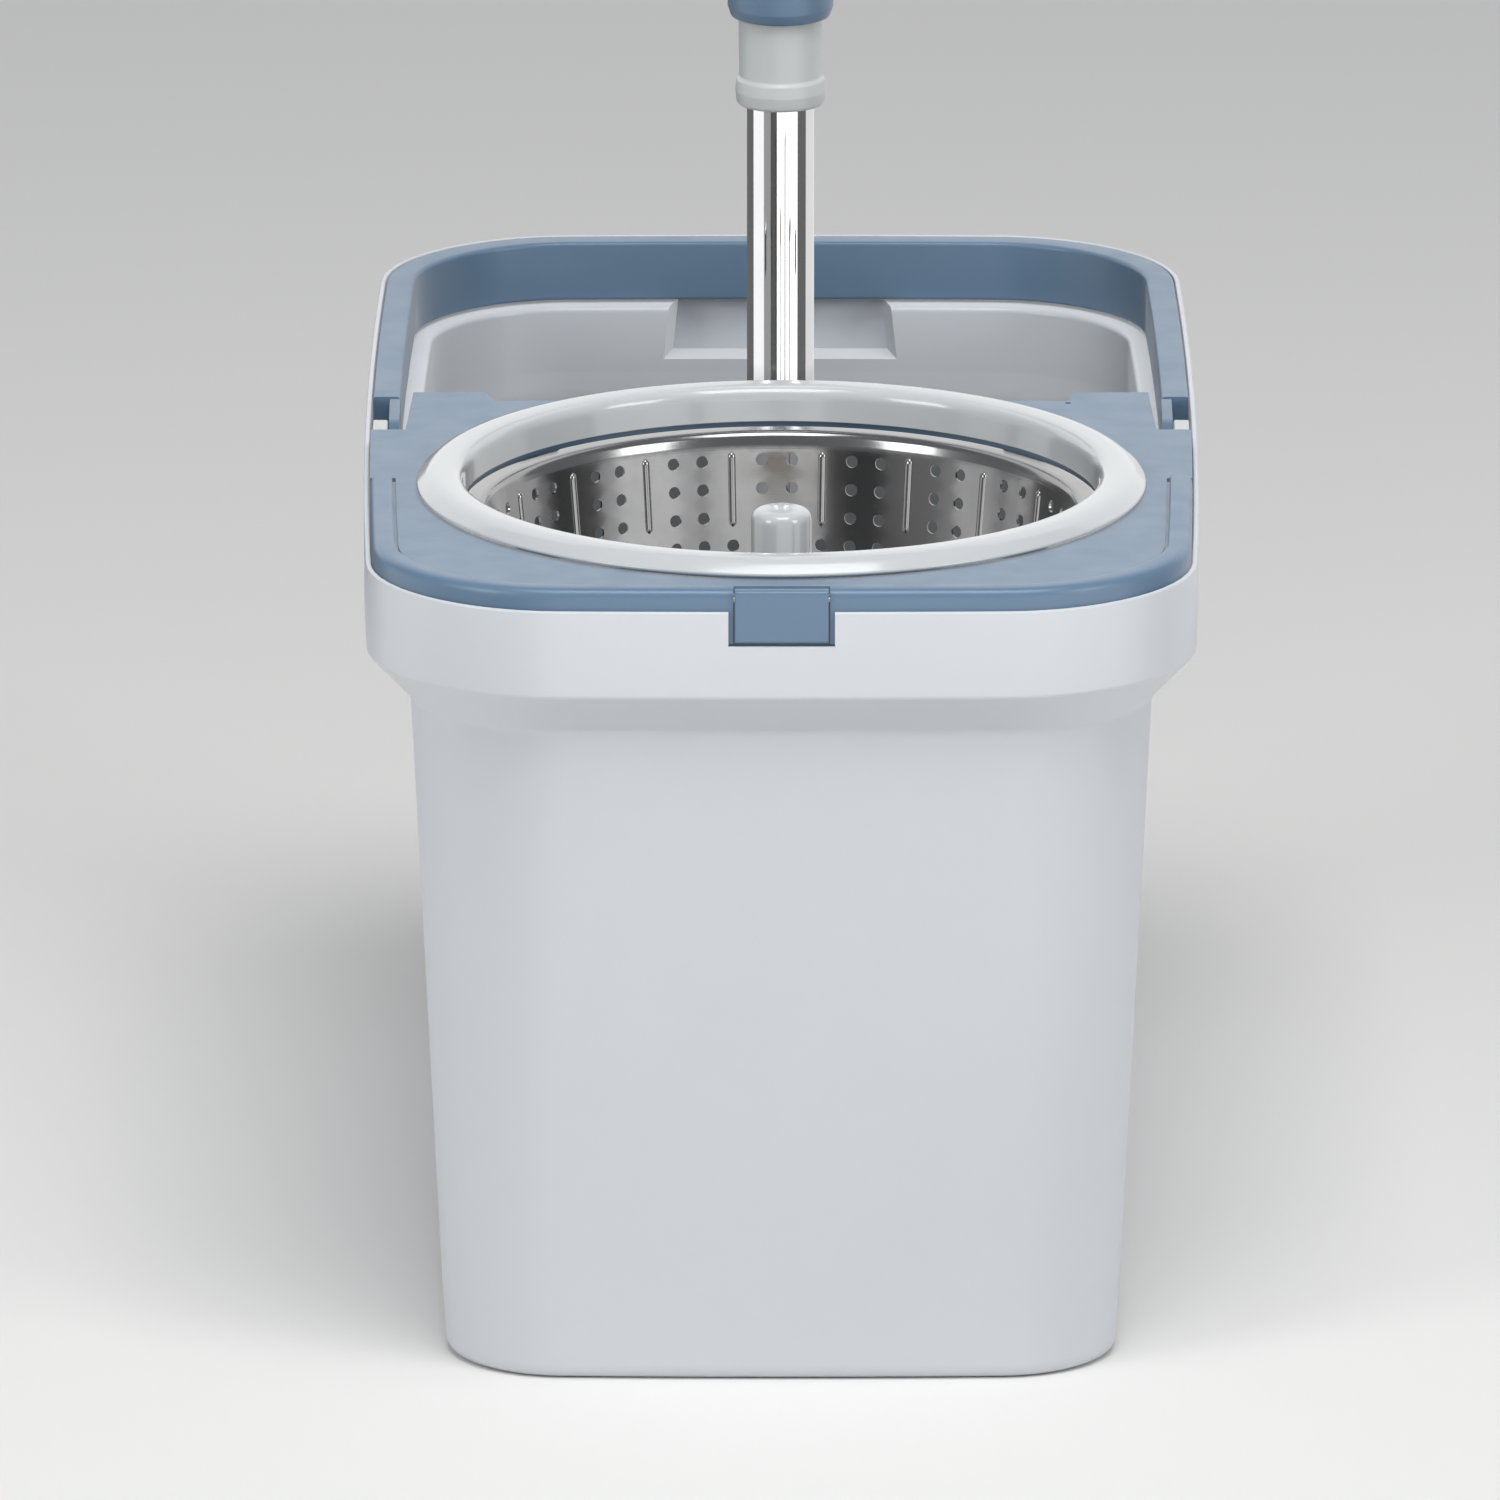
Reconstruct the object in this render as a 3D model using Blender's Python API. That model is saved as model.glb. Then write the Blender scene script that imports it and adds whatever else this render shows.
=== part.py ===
"""A spin mop: an oblong bucket with a steel spin basket at its front, and a hand-press mop standing in it.

X is right, Y is back and Z is up. The origin is the centre of the bucket's foot, on the floor.
The bucket's wall positions are insets, measured inwards from the outermost face of its collar.
"""

import math

import bmesh
import bpy
from mathutils import Vector

MM = 0.001

# Bucket
RIM_WIDTH = 272 * MM
RIM_LENGTH = 488 * MM
RIM_HEIGHT = 263 * MM
RIM_CORNER = 60 * MM
RIM_EDGE = 0.6 * MM
SIDE_BOW = 4.5 * MM
END_BOW = 2.5 * MM
WALL = 2.6 * MM
RIM_WALL = 1.6 * MM
FLOOR = 3 * MM
COLLAR_HEIGHT = 28.5 * MM
BEVEL_HEIGHT = 15 * MM
BEVEL_INSET = 14 * MM
FOOT_INSET = 24.5 * MM
FOOT_ROUND = 5 * MM
LEDGE_DROP = 21 * MM
SPOUT_WIDTH = 80 * MM
SPOUT_DROP = 39 * MM
SPOUT_TAPER = 4 * MM
SPOUT_BASE = 4 * MM
CORNER_STEPS = 6
SMALLEST_CORNER = 6 * MM

# Clearances, and how far a cutter runs past what it cuts
GAP = 0.4 * MM
RUNNING = 0.3 * MM
OVERCUT = 1 * MM
ROUND = 28

# Deck, its front trim and the latch
DECK_RISE = 5.5 * MM
DECK_PLATE = 3 * MM
DECK_EDGE = 0.8 * MM
SKIRT = 2.5 * MM
SHOULDER_LENGTH = 48 * MM
NECK_INSET = 15 * MM
STEP_WIDTH = 24 * MM
STEP_DEPTH = 11 * MM
RING_REAR_ROOM = 1.5 * MM
RING_SEAT = 3.5 * MM
DECK_COLLAR = 2.2 * MM
DECK_COLLAR_DROP = 14 * MM
DRAIN_R = 1 * MM
DRAIN_ROOM = 3 * MM
TRIM_RISE = 7 * MM
TRIM_WIDTH = 7.2 * MM
TRIM_FLANGE = 2.5 * MM
TRIM_REACH = 9 * MM
TRIM_DROP = 11 * MM
TRIM_ROUND = 2.2 * MM
TRIM_EDGE = 1 * MM
TAB_WIDTH = 30 * MM
TAB_DROP = 10.5 * MM
TAB_SET_BACK = 0.6 * MM
TAB_ROUND = 2 * MM
TAB_ROOM = 7 * MM
NOTCH_ROOM = 2 * MM
LATCH_PIN_R = 0.8 * MM
LATCH_PIN_GRIP = 8 * MM
LATCH_PIN_RISE = 3.5 * MM

# Ring and basket
RING_SIDE_ROOM = 17.5 * MM
RING_FRONT_ROOM = 18.5 * MM
RING_WIDTH = 15.5 * MM
RING_TALL = 6.5 * MM
RING_SKIRT_DROP = 5 * MM
RING_SKIRT = 2 * MM
LIP_COVER = 1.5 * MM
LIP_ROOM = 2.5 * MM
LIP_WIDTH = 8.5 * MM
LIP_TALL = 4 * MM
SHOULDER_TALL = 4.5 * MM
BASKET_TAPER = 9 * MM
BASKET_DEPTH = 97 * MM
BASKET_SHEET = 1 * MM
BASKET_FOOT_ROUND = 7 * MM
BASKET_TOP_DROP = 1.5 * MM
AXLE_R = 4 * MM
AXLE_HEAD_R = 7 * MM
AXLE_HEAD = 3 * MM
AXLE_END_ROOM = 1.5 * MM
BUSH_WALL = 2.4 * MM
BUSH_LENGTH = 12 * MM
BUSH_SET_DOWN = 2.5 * MM
POST_WALL = 2.8 * MM
POST_DOME = 3 * MM
POST_CROWN = 4 * MM
POST_FILLET = 2 * MM
FLOOR_HOLE_ROOM = 4.2 * MM
FLANGE_R = 26 * MM
FLANGE_THICK = 3 * MM
FLANGE_SLOPE = 9 * MM
HUB_THICK = 6 * MM
HUB_SCREW_EDGE = 6 * MM
WASHER_R = 10 * MM
WASHER_THICK = 1.5 * MM
CRADLE_BOSS_R = 20 * MM
CRADLE_ROOT_R = 12 * MM
CRADLE_PLATE = 6 * MM
CRADLE_ARM = 16 * MM
CRADLE_ARM_THICK = 4 * MM
CRADLE_LEG = 3.5 * MM
CRADLE_ROOM = 10 * MM
CRADLE_PAD = 11 * MM
CRADLE_TURN = math.radians(45)
PAD_THICK = 4 * MM
SCREW_R = 1.5 * MM
SCREW_HEAD_R = 3 * MM
SCREW_HEAD = 2 * MM
SCREW_BITE = 1.7 * MM
SCREW_SINK = 0.2 * MM
HUB_SCREW_BITE = 1 * MM

# Bail
BAIL_WIDTH = 9 * MM
BAIL_HEIGHT = 20 * MM
BAIL_EDGE = 0.8 * MM
BAIL_START = 15 * MM
BAIL_PIVOT_SET_BACK = 10 * MM
BAIL_TONGUE = 3.4 * MM
BAIL_PIN_R = 3.5 * MM
LUG_LENGTH = 14 * MM
LUG_TOP_DROP = 3 * MM

# Mop
MOP_REAR_ROOM = 134 * MM
MOP_HEIGHT = 1200 * MM
LOWER_POLE_R = 11.1 * MM
TUBE_WALL = 0.9 * MM
POLE_PLAY = 0.7 * MM
POLE_FOOT_ROOM = 6 * MM
COLLAR_ROOM = 79 * MM
COLLAR_LENGTH = 42 * MM
COLLAR_SEAT = 16.8 * MM
COLLAR_WALL = 1 * MM
COLLAR_RING_WIDTH = 1 * MM
COLLAR_RING = 8.5 * MM
SLEEVE_WALL = 3.2 * MM
SLEEVE_LENGTH = 68 * MM
SLEEVE_OVERLAP = 12 * MM
SLEEVE_NECK = 22 * MM
POLE_OVERLAP = 178 * MM
ROD_R = 4 * MM
ROD_GRIP = 12 * MM
BLADE_WIDTH = 7 * MM
BLADE_THICK = 3 * MM
BLADE_ROOT = 4 * MM
BLADE_STEP = math.radians(12)
PRESS_STROKE = 120 * MM
STROKE_ROOM = 10 * MM
BLADE_TAIL = 30 * MM
TURNS_PER_STROKE = 1.25
NUT_THICK = 8 * MM
BUSH_PLUG = 14 * MM
BUSH_FLANGE = 5 * MM
BUSH_LIP = 1 * MM
GUIDE_CAP = 4 * MM
PIVOT_RISE = 26 * MM
KNUCKLE_R = 13 * MM
KNUCKLE_TALL = 36 * MM
KNUCKLE_TAPER = 4 * MM
KNUCKLE_TAPER_TALL = 14 * MM
FORK_ROOM = 2 * MM
EAR_THICK = 5 * MM
EAR_R = 8 * MM
KNUCKLE_PIN_R = 2.5 * MM
PLATE_R = 60 * MM
PLATE_BOTTOM = 32 * MM
PLATE_THICK = 5 * MM
PLATE_SLOPE_R = 24 * MM
PLATE_HUB_R = 10 * MM
PLATE_HUB_RISE = 3 * MM
REFILL_RING_EDGE = 4 * MM
REFILL_RING_WIDTH = 10 * MM
REFILL_RING = 4 * MM
FIBRE_REACH = 16 * MM
FIBRE_FOOT_ROOM = 1.5 * MM
FIBRE_FOOT_IN = 8 * MM
FIBRE_WAIST = 12 * MM
JOIN_RISE = 100 * MM
JOIN_PLUG = 30 * MM
JOIN_RING = 2.4 * MM
JOIN_RING_WIDTH = 0.6 * MM
PLUG_WALL = 1.5 * MM
CAP_TALL = 50 * MM
CAP_GRIP = 12 * MM
CAP_PLUG = 22 * MM
CAP_RIM = 6 * MM
CAP_NECK_R = 8 * MM
GRIP_LENGTH = 150 * MM
GRIP_WALL = 2.5 * MM
GRIP_EDGE = 1 * MM
GRIP_WAIST = 0.8 * MM
GRIP_SWELL = 0.5 * MM
EYE_R = 13 * MM
EYE_NECK = 10 * MM
EYE_THICK = 9 * MM
EYE_HOLE_R = 7 * MM
EYE_HOLE_DROP = 3 * MM

# Places worked out from the sizes above
LEDGE_Z = RIM_HEIGHT - LEDGE_DROP
BEVEL_TOP = RIM_HEIGHT - COLLAR_HEIGHT
BODY_TOP = BEVEL_TOP - BEVEL_HEIGHT
DECK_TOP = RIM_HEIGHT + DECK_RISE
TRIM_TOP = RIM_HEIGHT + TRIM_RISE
DECK_INSET = RIM_WALL + GAP
DECK_FRONT_INSET = DECK_INSET + SKIRT + RUNNING
RING_R = RIM_WIDTH / 2 - RING_SIDE_ROOM
RING_BORE_R = RING_R - RING_WIDTH
BASKET_LIP_R = RING_BORE_R + LIP_COVER
BASKET_R = BASKET_LIP_R - LIP_WIDTH
BASKET_FOOT_R = BASKET_R - BASKET_TAPER
DECK_HOLE_R = BASKET_LIP_R + LIP_ROOM
BASKET_Y = RING_FRONT_ROOM + RING_R - RIM_LENGTH / 2
DECK_REAR_Y = BASKET_Y + RING_R + RING_REAR_ROOM
DECK_STEP_Y = DECK_REAR_Y - STEP_DEPTH
SHOULDER_Y = DECK_REAR_Y - SHOULDER_LENGTH
DECK_NECK = RIM_WIDTH / 2 - NECK_INSET
DECK_STEP_X = DECK_NECK - STEP_WIDTH
TRIM_END_Y = BASKET_Y + TRIM_REACH
BASKET_TOP = RIM_HEIGHT - BASKET_TOP_DROP
BASKET_BOTTOM = BASKET_TOP - BASKET_DEPTH
POST_TOP = BASKET_TOP
POST_BORE_R = AXLE_R + RUNNING + BUSH_WALL + RUNNING
POST_R = POST_BORE_R + POST_WALL
FLOOR_HOLE_R = POST_R + FLOOR_HOLE_ROOM
HUB_SCREW_CIRCLE_R = FLANGE_R - HUB_SCREW_EDGE
HUB_BOTTOM = BASKET_BOTTOM - RUNNING - HUB_THICK
CRADLE_REACH = BASKET_LIP_R + CRADLE_ROOM
CRADLE_TOP = HUB_BOTTOM - WASHER_THICK - 2 * RUNNING
CRADLE_BOTTOM = CRADLE_TOP - CRADLE_PLATE
PAD_TOP = DECK_TOP - DECK_PLATE - RUNNING
CRADLE_SCREW_R = CRADLE_REACH + SCREW_HEAD_R + 2 * RUNNING
BAIL_BOTTOM = RIM_HEIGHT - BAIL_HEIGHT
BAIL_PIVOT_Y = DECK_REAR_Y - BAIL_PIVOT_SET_BACK
BAIL_PIVOT_Z = BAIL_BOTTOM + BAIL_HEIGHT / 2
BAIL_START_Y = DECK_REAR_Y + BAIL_START
BAIL_INNER_INSET = DECK_INSET + BAIL_WIDTH
LATCH_PIVOT_Z = RIM_HEIGHT + LATCH_PIN_RISE
LATCH_PIVOT_INSET = DECK_INSET + SKIRT / 2
TAB_THICK = DECK_FRONT_INSET - TAB_SET_BACK - 2 * RUNNING
MOP_Y = RIM_LENGTH / 2 - MOP_REAR_ROOM
HEAD_PIVOT_Z = PLATE_BOTTOM + PIVOT_RISE
KNUCKLE_TOP = HEAD_PIVOT_Z + KNUCKLE_TALL
REFILL_RING_R = PLATE_R - REFILL_RING_EDGE
FIBRE_R = PLATE_R + FIBRE_REACH
UPPER_BORE_R = LOWER_POLE_R + POLE_PLAY
UPPER_POLE_R = UPPER_BORE_R + TUBE_WALL
COLLAR_BOTTOM = RIM_HEIGHT + COLLAR_ROOM
COLLAR_TOP = COLLAR_BOTTOM + COLLAR_LENGTH
COLLAR_R = UPPER_POLE_R + RUNNING + COLLAR_WALL
COLLAR_RING_R = COLLAR_R + COLLAR_RING_WIDTH
SLEEVE_R = COLLAR_R + RUNNING + SLEEVE_WALL
SLEEVE_BOTTOM = COLLAR_TOP - SLEEVE_OVERLAP
POLE_SEAT_Z = COLLAR_BOTTOM + COLLAR_SEAT
LOWER_POLE_TOP = COLLAR_BOTTOM + POLE_OVERLAP
BLADE_BOTTOM = LOWER_POLE_TOP + STROKE_ROOM
NUT_BOTTOM = BLADE_BOTTOM + PRESS_STROKE + STROKE_ROOM
BLADE_TOP = NUT_BOTTOM + NUT_THICK + BLADE_TAIL
TWIST_RATE = TURNS_PER_STROKE * 2 * math.pi / PRESS_STROKE
POLE_JOIN_Z = NUT_BOTTOM + JOIN_RISE
GRIP_R = UPPER_POLE_R + RUNNING + GRIP_WALL
GRIP_TOP = MOP_HEIGHT - CAP_TALL
GRIP_BOTTOM = GRIP_TOP - GRIP_LENGTH

BASKET_CENTRE = Vector((0, BASKET_Y, 0))
MOP_CENTRE = Vector((0, MOP_Y, 0))


# ---------- modelling helpers ----------

def material(name, colour, roughness, metallic=0.0, alpha=1.0):
    made = bpy.data.materials.new(name)
    made.use_nodes = True
    shader = made.node_tree.nodes["Principled BSDF"]
    shader.inputs["Base Color"].default_value = (*colour, 1.0)
    shader.inputs["Roughness"].default_value = roughness
    shader.inputs["Metallic"].default_value = metallic
    shader.inputs["Alpha"].default_value = alpha
    return made


def skin(name, rings, finish, wrap=False, smooth=35):
    """A closed solid through rings of equally many points, capped at both ends, or joined end to start."""
    bm = bmesh.new()
    loops = [[bm.verts.new(point) for point in ring] for ring in rings]
    pairs = list(zip(loops, loops[1:]))
    if wrap:
        pairs.append((loops[-1], loops[0]))
    else:
        bm.faces.new(loops[0])
        bm.faces.new(loops[-1])
    for low, high in pairs:
        for i in range(len(low)):
            j = (i + 1) % len(low)
            bm.faces.new((low[i], low[j], high[j], high[i]))
    bmesh.ops.recalc_face_normals(bm, faces=bm.faces)
    mesh = bpy.data.meshes.new(name)
    bm.to_mesh(mesh)
    bm.free()
    mesh.shade_smooth()
    mesh.set_sharp_from_angle(angle=math.radians(smooth))
    mesh.materials.append(finish)
    made = bpy.data.objects.new(name, mesh)
    bpy.context.scene.collection.objects.link(made)
    return made


def circle(radius, z, centre=Vector(), steps=ROUND):
    turn = 2 * math.pi / steps
    spots = [(radius * math.cos(turn * i), radius * math.sin(turn * i)) for i in range(steps)]
    return [centre + Vector((x, y, z)) for x, y in spots]


def turned(name, profile, finish, centre=Vector(), wrap=False, steps=ROUND):
    """A solid of revolution about the vertical through centre, from (radius, height) pairs."""
    return skin(name, [circle(r, z, centre, steps) for r, z in profile], finish, wrap)


def tube(name, outer, bore, bottom, top, finish, centre=Vector(), steps=ROUND):
    profile = [(outer, bottom), (outer, top), (bore, top), (bore, bottom)]
    return turned(name, profile, finish, centre, True, steps)


def crossbar(name, radius, start, end, y, z, finish, steps=16):
    """A round bar along X."""
    turn = 2 * math.pi / steps
    ring = [(radius * math.cos(turn * i), radius * math.sin(turn * i)) for i in range(steps)]
    return skin(name, [[(x, y + a, z + b) for a, b in ring] for x in (start, end)], finish)


def block(name, low, high, finish):
    (x0, y0, z0), (x1, y1, z1) = low, high
    corners = [(x0, y0), (x1, y0), (x1, y1), (x0, y1)]
    return skin(name, [[(x, y, z) for x, y in corners] for z in (z0, z1)], finish)


def prism(name, plan, bottom, top, finish):
    return skin(name, [[(x, y, z) for x, y in plan] for z in (bottom, top)], finish)


def boolean(target, tool, operation="DIFFERENCE"):
    """Cuts, joins or trims target with tool, which is then only a guide."""
    tool.hide_render = True
    tool.display_type = "WIRE"
    step = target.modifiers.new(tool.name, "BOOLEAN")
    step.operation = operation
    step.solver = "EXACT"
    step.object = tool
    return target


def axis_empty(name, place):
    made = bpy.data.objects.new(name, None)
    made.location = place
    bpy.context.scene.collection.objects.link(made)
    return made


def hang_on(empty, *pieces):
    """Parents each piece to the empty on its joint's axis, with the piece's origin there."""
    for piece in pieces:
        piece.data.transform(empty.matrix_basis.inverted())
        piece.parent = empty


def outline(inset, z):
    """The bucket's plan at an inset: a rectangle with round corners, whose sides bow out a little."""
    half_x = RIM_WIDTH / 2 - SIDE_BOW - inset
    half_y = RIM_LENGTH / 2 - END_BOW - inset
    radius = max(RIM_CORNER - inset, SMALLEST_CORNER)
    plan = []
    for quarter, (sx, sy) in enumerate(((1, 1), (-1, 1), (-1, -1), (1, -1))):
        for step in range(CORNER_STEPS + 1):
            angle = math.pi / 2 * (quarter + step / CORNER_STEPS)
            x = sx * (half_x - radius) + radius * math.cos(angle)
            y = sy * (half_y - radius) + radius * math.sin(angle)
            plan.append((x, y))
        end_x, end_y = plan[-1]
        if quarter % 2 == 0:
            plan += [(end_x * (1 - 2 * t), end_y) for t in (1 / 3, 2 / 3)]
        else:
            plan += [(end_x, end_y * (1 - 2 * t)) for t in (1 / 4, 1 / 2, 3 / 4)]
    bowed = []
    for x, y in plan:
        wide = 1 + SIDE_BOW / half_x * (1 - (y / half_y) ** 2)
        long = 1 + END_BOW / half_y * (1 - (x / half_x) ** 2)
        bowed.append((x * wide, y * long, z))
    return bowed


def band(name, profile, finish):
    """A closed hoop that follows the bucket's plan, from (inset, height) pairs."""
    return skin(name, [outline(inset, z) for inset, z in profile], finish, wrap=True)


def half_space(name, y_low, y_high, finish):
    reach = RIM_LENGTH
    return block(name, (-reach, y_low, -reach), (reach, y_high, reach), finish)


# ---------- bucket ----------

def make_bucket(grey):
    """One moulding: tapered body, wide collar with a bevel under it, and a ledge inside for deck and bail."""
    inner = BEVEL_INSET + WALL
    bucket = skin("bucket_body", [
        outline(FOOT_INSET + FOOT_ROUND, 0),
        outline(FOOT_INSET + FOOT_ROUND * 0.3, FOOT_ROUND * 0.3),
        outline(FOOT_INSET, FOOT_ROUND),
        outline(BEVEL_INSET, BODY_TOP),
        outline(0, BEVEL_TOP),
        outline(0, RIM_HEIGHT - RIM_EDGE),
        outline(RIM_EDGE, RIM_HEIGHT),
        outline(RIM_WALL, RIM_HEIGHT),
        outline(RIM_WALL, LEDGE_Z),
        outline(inner, LEDGE_Z),
        outline(inner, BODY_TOP),
        outline(FOOT_INSET + WALL, FOOT_ROUND + FLOOR),
        outline(FOOT_INSET + WALL + FOOT_ROUND, FLOOR),
    ], grey)
    half = SPOUT_WIDTH / 2
    rear = RIM_LENGTH / 2
    spout_floor = RIM_HEIGHT - SPOUT_DROP
    spout_case = prism("spout_case", [
        (-half - SPOUT_TAPER, rear - inner), (half + SPOUT_TAPER, rear - inner),
        (half, rear - OVERCUT), (-half, rear - OVERCUT),
    ], spout_floor - SPOUT_BASE, BEVEL_TOP + OVERCUT, grey)
    boolean(bucket, spout_case, "UNION")
    mouth = rear - RIM_WALL - OVERCUT
    spout_cut = prism("spout_cut", [
        (-half, rear - inner - SPOUT_TAPER), (half, rear - inner - SPOUT_TAPER),
        (half - SPOUT_TAPER, mouth), (SPOUT_TAPER - half, mouth),
    ], spout_floor, LEDGE_Z + OVERCUT, grey)
    boolean(bucket, spout_cut)
    notch = TAB_WIDTH / 2 + NOTCH_ROOM
    latch_notch = block(
        "latch_notch",
        (-notch, -rear - OVERCUT, RIM_HEIGHT - TAB_DROP - OVERCUT),
        (notch, -rear + RIM_WALL + OVERCUT, RIM_HEIGHT + OVERCUT),
        grey,
    )
    boolean(bucket, latch_notch)
    return bucket


def deck_plan():
    """The deck's plan, from its wide front to the stepped edge behind the ring seat."""
    reach = RIM_LENGTH
    seat_r = RING_R - RING_SEAT
    start = math.asin((DECK_STEP_Y - BASKET_Y) / seat_r)
    arc = [start + (math.pi - 2 * start) * i / 6 for i in range(7)]
    seat = [(seat_r * math.cos(a), BASKET_Y + seat_r * math.sin(a)) for a in arc]
    right = [(reach, -reach), (reach, SHOULDER_Y), (DECK_NECK, SHOULDER_Y), (DECK_NECK, DECK_REAR_Y)]
    right += [(DECK_STEP_X, DECK_REAR_Y), (DECK_STEP_X, DECK_STEP_Y)]
    left = [(-x, y) for x, y in reversed(right)]
    return right + seat + left


def make_deck(blue):
    """The lid over the spin end. It drops inside the collar and stands on the bucket's ledge."""
    foot = LEDGE_Z + RUNNING
    under = foot - OVERCUT
    over = TRIM_TOP + OVERCUT
    deck = skin("deck_plate", [
        outline(DECK_INSET, foot),
        outline(DECK_INSET, DECK_TOP - DECK_EDGE),
        outline(DECK_INSET + DECK_EDGE, DECK_TOP),
    ], blue)
    boolean(deck, prism("deck_plan", deck_plan(), under, over, blue), "INTERSECT")
    room_inset = DECK_FRONT_INSET + SKIRT
    room = skin("deck_room", [outline(room_inset, under), outline(room_inset, DECK_TOP - DECK_PLATE)], blue)
    boolean(deck, room)
    collar_foot = DECK_TOP - DECK_COLLAR_DROP
    collar = [(DECK_HOLE_R + DECK_COLLAR, collar_foot), (DECK_HOLE_R + DECK_COLLAR, DECK_TOP - DECK_EDGE)]
    boolean(deck, turned("deck_collar", collar, blue, BASKET_CENTRE, steps=48), "UNION")
    hole = turned("deck_hole", [(DECK_HOLE_R, under), (DECK_HOLE_R, over)], blue, BASKET_CENTRE, steps=48)
    boolean(deck, hole)
    under_flange = TRIM_TOP - TRIM_FLANGE - RUNNING
    behind_flange = DECK_INSET + TRIM_WIDTH + RUNNING
    rebate = band("trim_rebate", [
        (-OVERCUT, under), (-OVERCUT, over), (behind_flange, over),
        (behind_flange, under_flange), (DECK_FRONT_INSET, under_flange), (DECK_FRONT_INSET, under),
    ], blue)
    front = half_space("rebate_front", -RIM_LENGTH, TRIM_END_Y + RUNNING, blue)
    boolean(rebate, front, "INTERSECT")
    boolean(deck, rebate)
    drain_place = Vector((DECK_STEP_X - DRAIN_ROOM, DECK_STEP_Y - DRAIN_ROOM, 0))
    boolean(deck, turned("deck_drain", [(DRAIN_R, under), (DRAIN_R, over)], blue, drain_place, steps=12))
    hole_top = PAD_TOP + SCREW_BITE + 2 * RUNNING
    for i, (x, y) in enumerate(around(BASKET_CENTRE, CRADLE_SCREW_R, 4, CRADLE_TURN)):
        boolean(deck, screw_hole(f"deck_screw_hole_{i + 1}", x, y, PAD_TOP - OVERCUT, hole_top, blue))
    return deck


def make_trim(blue):
    """The raised front band of the deck, clipped over its edge, with a gap for the latch tab."""
    low = RIM_HEIGHT - TRIM_DROP
    inner = DECK_INSET + SKIRT
    flange_low = TRIM_TOP - TRIM_FLANGE
    edge = DECK_INSET + TRIM_WIDTH
    chamfer = TRIM_ROUND / 3
    trim = band("deck_trim", [
        (DECK_INSET, low), (DECK_INSET, TRIM_TOP - TRIM_ROUND), (DECK_INSET + chamfer, TRIM_TOP - chamfer),
        (DECK_INSET + TRIM_ROUND, TRIM_TOP), (edge - TRIM_EDGE, TRIM_TOP), (edge, TRIM_TOP - TRIM_EDGE),
        (edge, flange_low), (inner, flange_low), (inner, low),
    ], blue)
    boolean(trim, half_space("trim_front", -RIM_LENGTH, TRIM_END_Y, blue), "INTERSECT")
    half = TAB_WIDTH / 2 + GAP
    front = -RIM_LENGTH / 2
    boolean(trim, block("tab_gap", (-half, front - OVERCUT, low - OVERCUT),
                        (half, front + TAB_ROOM, TRIM_TOP + OVERCUT), blue))
    bore = latch_bar("trim_pin_bore", LATCH_PIN_R + RUNNING, TAB_WIDTH / 2 + LATCH_PIN_GRIP + RUNNING, blue)
    boolean(trim, bore)
    return trim


def latch_bar(name, radius, reach, finish):
    y = -RIM_LENGTH / 2 + LATCH_PIVOT_INSET
    return crossbar(name, radius, -reach, reach, y, LATCH_PIVOT_Z, finish, steps=10)


def make_latch(blue, steel):
    """The tab that holds the deck to the rim, on a steel pin held in the trim's two ends."""
    front = -RIM_LENGTH / 2
    outer = front + TAB_SET_BACK
    half = TAB_WIDTH / 2
    low = RIM_HEIGHT - TAB_DROP
    chamfer = TAB_ROUND * 0.3
    side = [
        (outer, low), (outer + TAB_THICK, low), (outer + TAB_THICK, TRIM_TOP),
        (outer + TAB_ROUND, TRIM_TOP), (outer + chamfer, TRIM_TOP - chamfer), (outer, TRIM_TOP - TAB_ROUND),
    ]
    tab = skin("deck_latch", [[(x, y, z) for y, z in side] for x in (-half, half)], blue)
    boolean(tab, latch_bar("tab_pin_bore", LATCH_PIN_R + RUNNING, RIM_WIDTH / 4, blue))
    pin = latch_bar("latch_pin", LATCH_PIN_R, half + LATCH_PIN_GRIP, steel)
    axis = axis_empty("latch_axis", (0, front + LATCH_PIVOT_INSET, LATCH_PIVOT_Z))
    hang_on(axis, tab)
    return tab, pin


def make_ring(white):
    """The white splash ring, a turned moulding that stands on the deck around the basket's mouth."""
    foot = DECK_TOP + RUNNING
    top = DECK_TOP + RING_TALL
    skirt_foot = DECK_TOP - RING_SKIRT_DROP
    outer_slope = RING_WIDTH / 10
    return turned("splash_ring", [
        (RING_R - outer_slope, foot), (RING_R, foot + RING_TALL / 5),
        (RING_R - outer_slope, foot + RING_TALL / 2),
        (RING_R - 3 * outer_slope, top - RING_TALL / 10), (RING_R - RING_WIDTH / 2, top),
        (RING_BORE_R + 2 * outer_slope, top - RING_TALL / 10),
        (RING_BORE_R + outer_slope / 2, top - RING_TALL / 3),
        (RING_BORE_R, top - RING_TALL * 0.7), (RING_BORE_R, skirt_foot),
        (RING_BORE_R + RING_SKIRT, skirt_foot), (RING_BORE_R + RING_SKIRT, foot),
    ], white, BASKET_CENTRE, True, 56)


# ---------- spin basket and its seat ----------

def screw(name, place, length, finish):
    """A pan-head screw whose head lies under its shank, with the shank's end at the top."""
    x, y, z = place
    under = z + SCREW_HEAD
    return turned(name, [
        (SCREW_HEAD_R, z), (SCREW_HEAD_R, under), (SCREW_R, under), (SCREW_R, under + length),
    ], finish, Vector((x, y, 0)), steps=10)


def screw_hole(name, x, y, bottom, top, finish):
    hole_r = SCREW_R + RUNNING
    return turned(name, [(hole_r, bottom), (hole_r, top)], finish, Vector((x, y, 0)), steps=10)


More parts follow.
